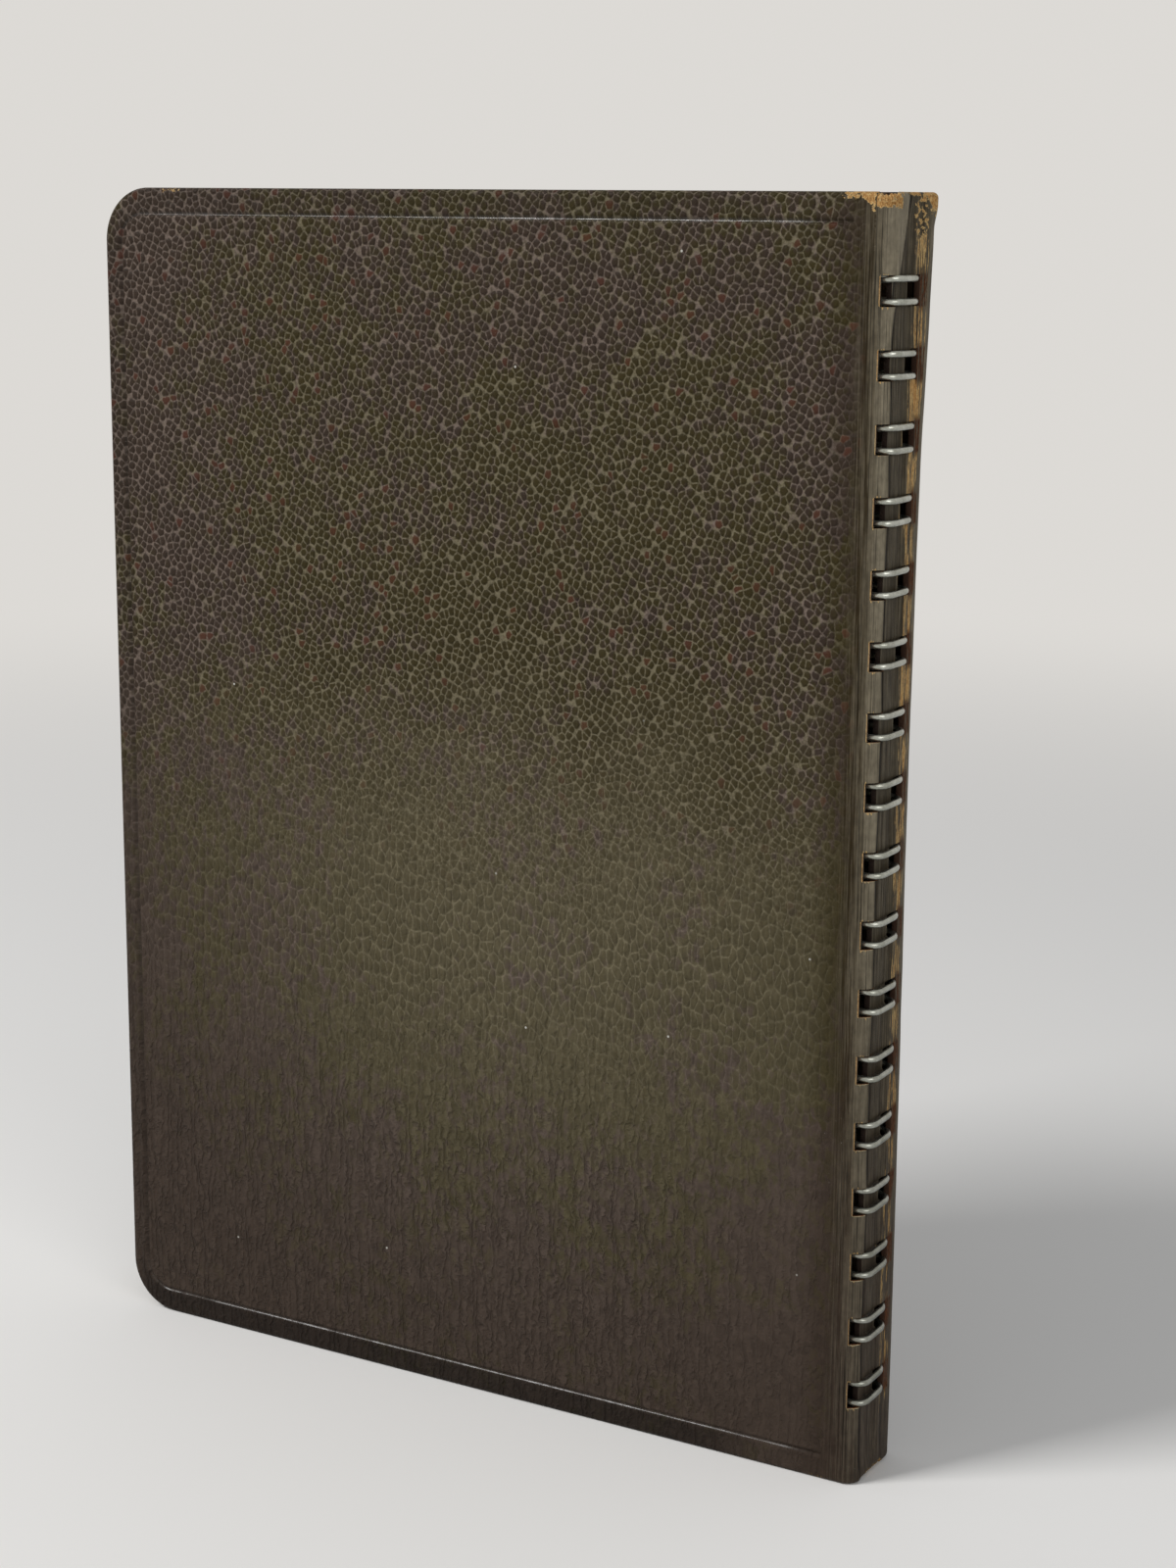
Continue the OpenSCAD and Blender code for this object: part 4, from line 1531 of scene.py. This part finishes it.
        # Olive in the middle with the painted sheen, browner towards the edges, the tail and the fore-edge,
        # and at random.
        brown = distance.rise(30.0, 120.0, -0.35, 0.45)
        for more in (height.rise(15.0, 90.0, 0.75, 0.0), graph.noise(chart, 0.035).rise(0.42, 0.6, -0.5, 0.3),
                     across.rise(0.0, 70.0, 0.45, 0.0), hue.rise(0.46, 0.62, 0.0, 0.8),
                     brown_tone.rise(0.0, 1.0, -0.25, 0.25)):
            brown = brown + more
        red = red_tone.rise(0.955, 0.97) * height.rise(90.0, 150.0, 0.0, 0.55)
        dark = graph.mix(red, graph.mix(brown, self.olive_dark, self.brown_dark), self.red_cell)
        dyed = graph.mix(share, dark, graph.mix(brown, self.olive_light, self.brown_light))
        return graph.tint(dyed, tint_tone.rise(0.0, 1.0, 0.9, 1.1))

    def _dusted(self, graph: Graph, chart: Term, colour: Term) -> Term:
        """Adds a few pale dust specks: small discs round some of a wide Voronoi pattern's points."""
        specks = graph.cells({"Vector": chart, "Scale": 0.03, "Randomness": 1.0}, "F1").outputs
        near = Term(graph, specks["Distance"]).rise(0.004, 0.009, 1.0, 0.0)
        chosen = graph.split(Term(graph, specks["Color"]), "Color")[0]
        lint = (graph.noise(chart, 1.7, 3.0, 0.7).rise(0.68, 0.76, 0.0, 0.55)
                * graph.noise(chart, 0.05, 2.0).rise(0.52, 0.68))
        return graph.mix((near * chosen.rise(0.7, 0.85)).most(lint), colour, self.dust)

    @staticmethod
    def _bare(graph: Graph, chart: Term, height: Term, colour: Term) -> tuple[Term, Term]:
        """Shows tan fibres where the wear field, roughened by upright noise, is over a half.

        The skin's torn edge is a pale line, and the pale rims of the slots have a wear of 1.

        Args:
            graph: The material's graph.
            chart: The unrolled leather's coordinates.
            height: Height above the tail.
            colour: The colour of the unworn leather.

        Returns:
            The colour, and where the leather is bare.
        """
        torn_upright = graph.noise(chart, (2.4, 0.12, 1.0), 4.0, 0.65)
        torn_evenly = graph.noise(chart, (1.1, 1.1, 1.0), 4.0, 0.65)
        rough = graph.blend(height.rise(228.0, 233.0), torn_upright, torn_evenly)
        wear = graph.field("wear")
        level = wear + rough.rise(0.32, 0.68, -0.38, 0.38)
        bare = level.rise(0.46, 0.56)
        strand = graph.noise(chart, (5.0, 1.4, 1.0), 4.0, 0.7).rise(0.35, 0.65)
        tan = graph.mix(strand, (0.20, 0.088, 0.024), (0.60, 0.35, 0.13))
        torn = level.rise(0.50, 0.56) * level.rise(0.60, 0.72, 1.0, 0.0)
        tan = graph.mix(torn * 0.55, tan, (0.62, 0.50, 0.25))
        tan = graph.mix(wear.rise(0.92, 0.97), tan, (0.36, 0.31, 0.20))
        tan = graph.tint(tan, height.rise(20.0, 150.0, 0.62, 1.0))
        dark = graph.mix(strand, (0.022, 0.009, 0.005), (0.12, 0.044, 0.016))
        return graph.mix(bare, colour, graph.mix(graph.field("soil"), tan, dark)), bare


@dataclass(frozen=True)
class CutLeatherFinish(Finish):
    """The leather's cut edge: pale under the skin at the back slots, then orange-brown, then nearly black as
    painted shade; painted dark as shade at the front slots.
    """

    book: Book
    name: str = "cut leather edge"

    def paint(self, graph: Graph, shader: bpy.types.Node) -> None:
        """Fills the material's graph.

        The depth under the skin is the fold radius less the distance from the nearer fold's axis,
        or from the flat between them.

        Args:
            graph: The graph.
            shader: Its Principled shader.
        """
        book, radius = self.book, self.book.fold_radius
        place = graph.object_mm()
        x, y, _ = graph.split(graph.vector("SUBTRACT", place, tuple(book.origin)))
        beyond = (x - book.fold_x).most(0.0)
        short = (radius - y).most(y - (book.thickness - radius)).most(0.0)
        depth = radius - graph.math("SQRT", beyond * beyond + short * short)
        fine = self.groups.place(graph, "patches", {"Place": place, "Pace": 0.3, "Fine pace": 3.0})["Fine"]
        depth = depth + fine.rise(0.0, 1.0, -0.1, 0.1)
        # Painted shade: nearly black deeper in the cut edge, where the slots lie in shade.
        core_and_shade = graph.mix(depth.rise(0.4, 0.9), (0.20, 0.075, 0.022), (0.022, 0.013, 0.009))
        on_back = y.rise(4.0, 6.5, 1.0, 0.0)
        pale = depth.rise(0.16, 0.36, 1.0, 0.0) * on_back
        # Painted shade: the front slots' edges are dark.
        colour = graph.mix(pale, graph.mix(on_back, (0.045, 0.022, 0.013), core_and_shade), (0.42, 0.36, 0.23))
        shader.inputs["Specular IOR Level"].default_value = 0.2
        graph.cover(shader, colour, 0.85, (0.6, 0.15 * MM, fine))


@dataclass(frozen=True)
class PaperFinish(Finish):
    """Off-white leaves, yellowed towards their edges, with the leaves' lines on the block's sides."""

    name: str = "aged page paper"

    def paint(self, graph: Graph, shader: bpy.types.Node) -> None:
        """Fills the material's graph.

        Args:
            graph: The graph.
            shader: Its Principled shader.
        """
        place = graph.object_mm()
        patches = self.groups.place(graph, "patches", {"Place": place, "Pace": 0.02, "Fine pace": 0.7})
        colour = graph.mix(patches["Broad"], (0.70, 0.62, 0.47), (0.76, 0.69, 0.55))
        colour = graph.mix(patches["Fine"] * 0.10, colour, (0.55, 0.44, 0.28))
        leaves = graph.noise(place, (0.05, 9.0, 0.02), 2.0, 0.7)
        facing = graph.split(graph.term("ShaderNodeNewGeometry", None, "True Normal"))[1]
        side = graph.math("ABSOLUTE", facing).rise(0.3, 0.9, 1.0, 0.0)
        line = leaves.rise(0.42, 0.6, 1.0, 0.0) * side
        colour = graph.mix(line * 0.5, colour, (0.34, 0.26, 0.16))
        colour = graph.mix(side * 0.35, colour, (0.58, 0.45, 0.28))
        graph.cover(shader, colour, 0.85, (0.6, MM, leaves * side * 0.08))


@dataclass(frozen=True)
class FibrousFinish(Finish):
    """A pressed fibre stock, for the boards and the lining paper."""

    name: str
    dark: Colour
    light: Colour
    roughness: float
    relief: float

    def paint(self, graph: Graph, shader: bpy.types.Node) -> None:
        """Fills the material's graph.

        Args:
            graph: The graph.
            shader: Its Principled shader.
        """
        place = graph.object_mm()
        patches = self.groups.place(graph, "patches", {"Place": place, "Pace": 0.05, "Fine pace": 2.2})
        fibre = graph.noise(place, (3.0, 3.0, 0.8), 4.0, 0.7)
        colour = graph.mix(patches["Broad"] * 0.4 + fibre.rise(0.3, 0.7, 0.0, 0.6), self.dark, self.light)
        graph.cover(shader, colour, self.roughness, (0.7, MM, fibre * self.relief))


@dataclass(frozen=True)
class SteelFinish(Finish):
    """Dull grey-green steel wire with fine draw lines and darker tarnish patches, darker towards the tail."""

    name: str = "dull steel wire"

    def paint(self, graph: Graph, shader: bpy.types.Node) -> None:
        """Fills the material's graph.

        Args:
            graph: The graph.
            shader: Its Principled shader.
        """
        place = graph.object_mm()
        patches = self.groups.place(graph, "patches", {"Place": place, "Pace": 0.25, "Fine pace": 1.6})
        colour = graph.mix(patches["Broad"], (0.36, 0.37, 0.32), (0.50, 0.51, 0.46))
        colour = graph.mix(patches["Fine"] * 0.3, colour, (0.16, 0.15, 0.11))
        # Darker towards the tail.
        colour = graph.tint(colour, graph.split(place)[2].rise(0.0, 150.0, 0.62, 1.0))
        draw = graph.noise(graph.chart(), (0.3, 14.0, 1.0), 3.0, 0.6)
        shader.inputs["Metallic"].default_value = 0.9
        graph.cover(shader, colour, draw.rise(0.3, 0.7, 0.22, 0.34), (0.25, 0.03 * MM, draw))


def new_material(name: str) -> tuple[bpy.types.Material, Graph, bpy.types.Node]:
    """Makes a material.

    Args:
        name: The material's name.

    Returns:
        The material, its graph and its Principled shader.
    """
    material = bpy.data.materials.new(name)
    material.use_nodes = True
    return material, Graph(material.node_tree), material.node_tree.nodes["Principled BSDF"]


@dataclass(frozen=True)
class Studio:
    """The camera, the lamps, the floor and the backdrop."""

    camera_place: Colour = (0.276455, -0.443498, 0.235536)
    camera_yaw: float = 29.883
    camera_pitch: float = 12.0436
    camera_roll: float = 0.474
    lens: float = 62.43
    sensor: float = 36.0
    floor_half: float = 6.0
    floor_colour: Colour = (0.86, 0.845, 0.82)
    backdrop: Colour = (0.72, 0.70, 0.67)
    sky: Colour = (0.95, 0.97, 1.0)

    def camera(self) -> None:
        """Places the camera where the photo was taken from."""
        yaw, pitch, roll = np.radians([self.camera_yaw, self.camera_pitch, self.camera_roll])
        back = Vector((np.sin(yaw) * np.cos(pitch), -np.cos(yaw) * np.cos(pitch), np.sin(pitch)))
        right = Vector((0.0, 0.0, 1.0)).cross(back).normalized()
        up = back.cross(right)
        turned_right = right * np.cos(roll) + up * np.sin(roll)
        turned_up = up * np.cos(roll) - right * np.sin(roll)
        data = bpy.data.cameras.new("photo camera")
        data.lens = self.lens
        data.sensor_width = self.sensor
        data.clip_start = 0.01
        camera = bpy.data.objects.new("photo camera", data)
        turn = Matrix((turned_right, turned_up, back)).transposed().to_4x4()
        camera.matrix_world = Matrix.Translation(Vector(self.camera_place)) @ turn
        bpy.context.scene.collection.objects.link(camera)
        bpy.context.scene.camera = camera

    def lamp(self, name: str, place: Colour, target: Colour, size: float, power: float) -> None:
        """Adds a square soft lamp that faces a point.

        Args:
            name: Its name.
            place: Where it hangs, in metres.
            target: The point that it faces.
            size: Its side, in metres.
            power: Its power in watts.
        """
        data = bpy.data.lights.new(name, "AREA")
        data.shape = "SQUARE"
        data.size = size
        data.energy = power
        lamp = bpy.data.objects.new(name, data)
        aim = (Vector(target) - Vector(place)).to_track_quat("-Z", "Y")
        lamp.matrix_world = Matrix.Translation(Vector(place)) @ aim.to_matrix().to_4x4()
        bpy.context.scene.collection.objects.link(lamp)

    def light(self) -> None:
        """Hangs the lamps and sets the plain surroundings, which show pale to the camera and to gloss."""
        centre = (0.0, 0.0, 0.12)
        self.lamp("key light", (-0.75, -0.9, 1.2), centre, 0.5, 17.0)
        self.lamp("front fill", (1.3, -0.9, 0.7), centre, 1.0, 7.5)
        world = bpy.data.worlds.new("plain surroundings")
        world.use_nodes = True
        graph = Graph(world.node_tree)
        surroundings = world.node_tree.nodes["Background"]
        shown = self._shown(graph)
        graph.put(surroundings.inputs["Color"], graph.mix(shown, self.sky, self.backdrop))
        graph.put(surroundings.inputs["Strength"], graph.blend(shown, 0.35, 1.0))
        bpy.context.scene.world = world

    @staticmethod
    def _shown(graph: Graph) -> Term:
        """Is 1 for the rays that show a surface to the camera, through glass or as a reflection."""
        rays = graph.node("ShaderNodeLightPath").outputs
        seen = Term(graph, rays["Is Camera Ray"]).most(Term(graph, rays["Is Glossy Ray"]))
        return seen.most(Term(graph, rays["Is Transmission Ray"]))

    def floor(self) -> None:
        """Lays the pale floor, which turns into the plain backdrop away from the object's shadow."""
        half = self.floor_half
        mesh = bpy.data.meshes.new("floor")
        mesh.from_pydata([(-half, -half, 0.0), (half, -half, 0.0), (half, half, 0.0), (-half, half, 0.0)],
                         [], [(0, 1, 2, 3)])
        floor = bpy.data.objects.new("floor", mesh)
        bpy.context.scene.collection.objects.link(floor)
        material, graph, shader = new_material("pale floor")
        shader.inputs["Base Color"].default_value = (*self.floor_colour, 1.0)
        shader.inputs["Roughness"].default_value = 0.8
        shader.inputs["Specular IOR Level"].default_value = 0.1
        away = graph.vector("LENGTH", graph.term("ShaderNodeTexCoord", None, "Object"))
        share = away.rise(0.35, 1.1) * self._shown(graph)
        glow = graph.term("ShaderNodeEmission", {"Color": self.backdrop, "Strength": 1.0})
        plain = Term(graph, shader.outputs[0])
        mixed = graph.term("ShaderNodeMixShader", {0: share, 1: plain, 2: glow})
        graph.put(material.node_tree.nodes["Material Output"].inputs["Surface"], mixed)
        mesh.materials.append(material)


def dress(node: str, material: bpy.types.Material) -> None:
    """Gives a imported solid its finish.

    Args:
        node: The solid's name.
        material: Its material.
    """
    solid = bpy.data.objects[node]
    solid.data.materials.clear()
    solid.data.materials.append(material)


def main() -> None:
    """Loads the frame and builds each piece."""
    logging.basicConfig(level=logging.INFO, format="%(name)s: %(message)s")
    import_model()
    book = Book.from_frame()
    studio = Studio()
    studio.camera()
    groups = GroupMaker()
    leather = LeatherFinish(groups, book).build()
    cut = CutLeatherFinish(groups, book).build()
    steel = SteelFinish(groups).build()
    paper = PaperFinish(groups).build()
    lining = FibrousFinish(groups, "brown lining paper", (0.060, 0.040, 0.026), (0.115, 0.082, 0.056),
                           0.8, 0.03).build()
    board = FibrousFinish(groups, "grey binder's board", (0.20, 0.155, 0.11), (0.34, 0.28, 0.20),
                          0.9, 0.08).build()
    pieces = [CoverLeather(book, Body.BACK, 11).build(leather),
              CoverLeather(book, Body.FRONT, 23).build(leather),
              SpineLeather(book, 5).build(leather, cut),
              TwinLoopWire(book, 7).build(steel),
              PageLeaves(book, 3).build(paper)]
    for side in (Body.BACK, Body.FRONT):
        dress(f"{side.value}_board", board)
        dress(f"{side.value}_lining", lining)
    for piece in pieces:
        LOG.info("%s has %d faces", piece.name, len(piece.data.polygons))
    studio.floor()
    studio.light()
    bpy.context.scene.view_settings.view_transform = "Standard"


if __name__ == "__main__":
    main()
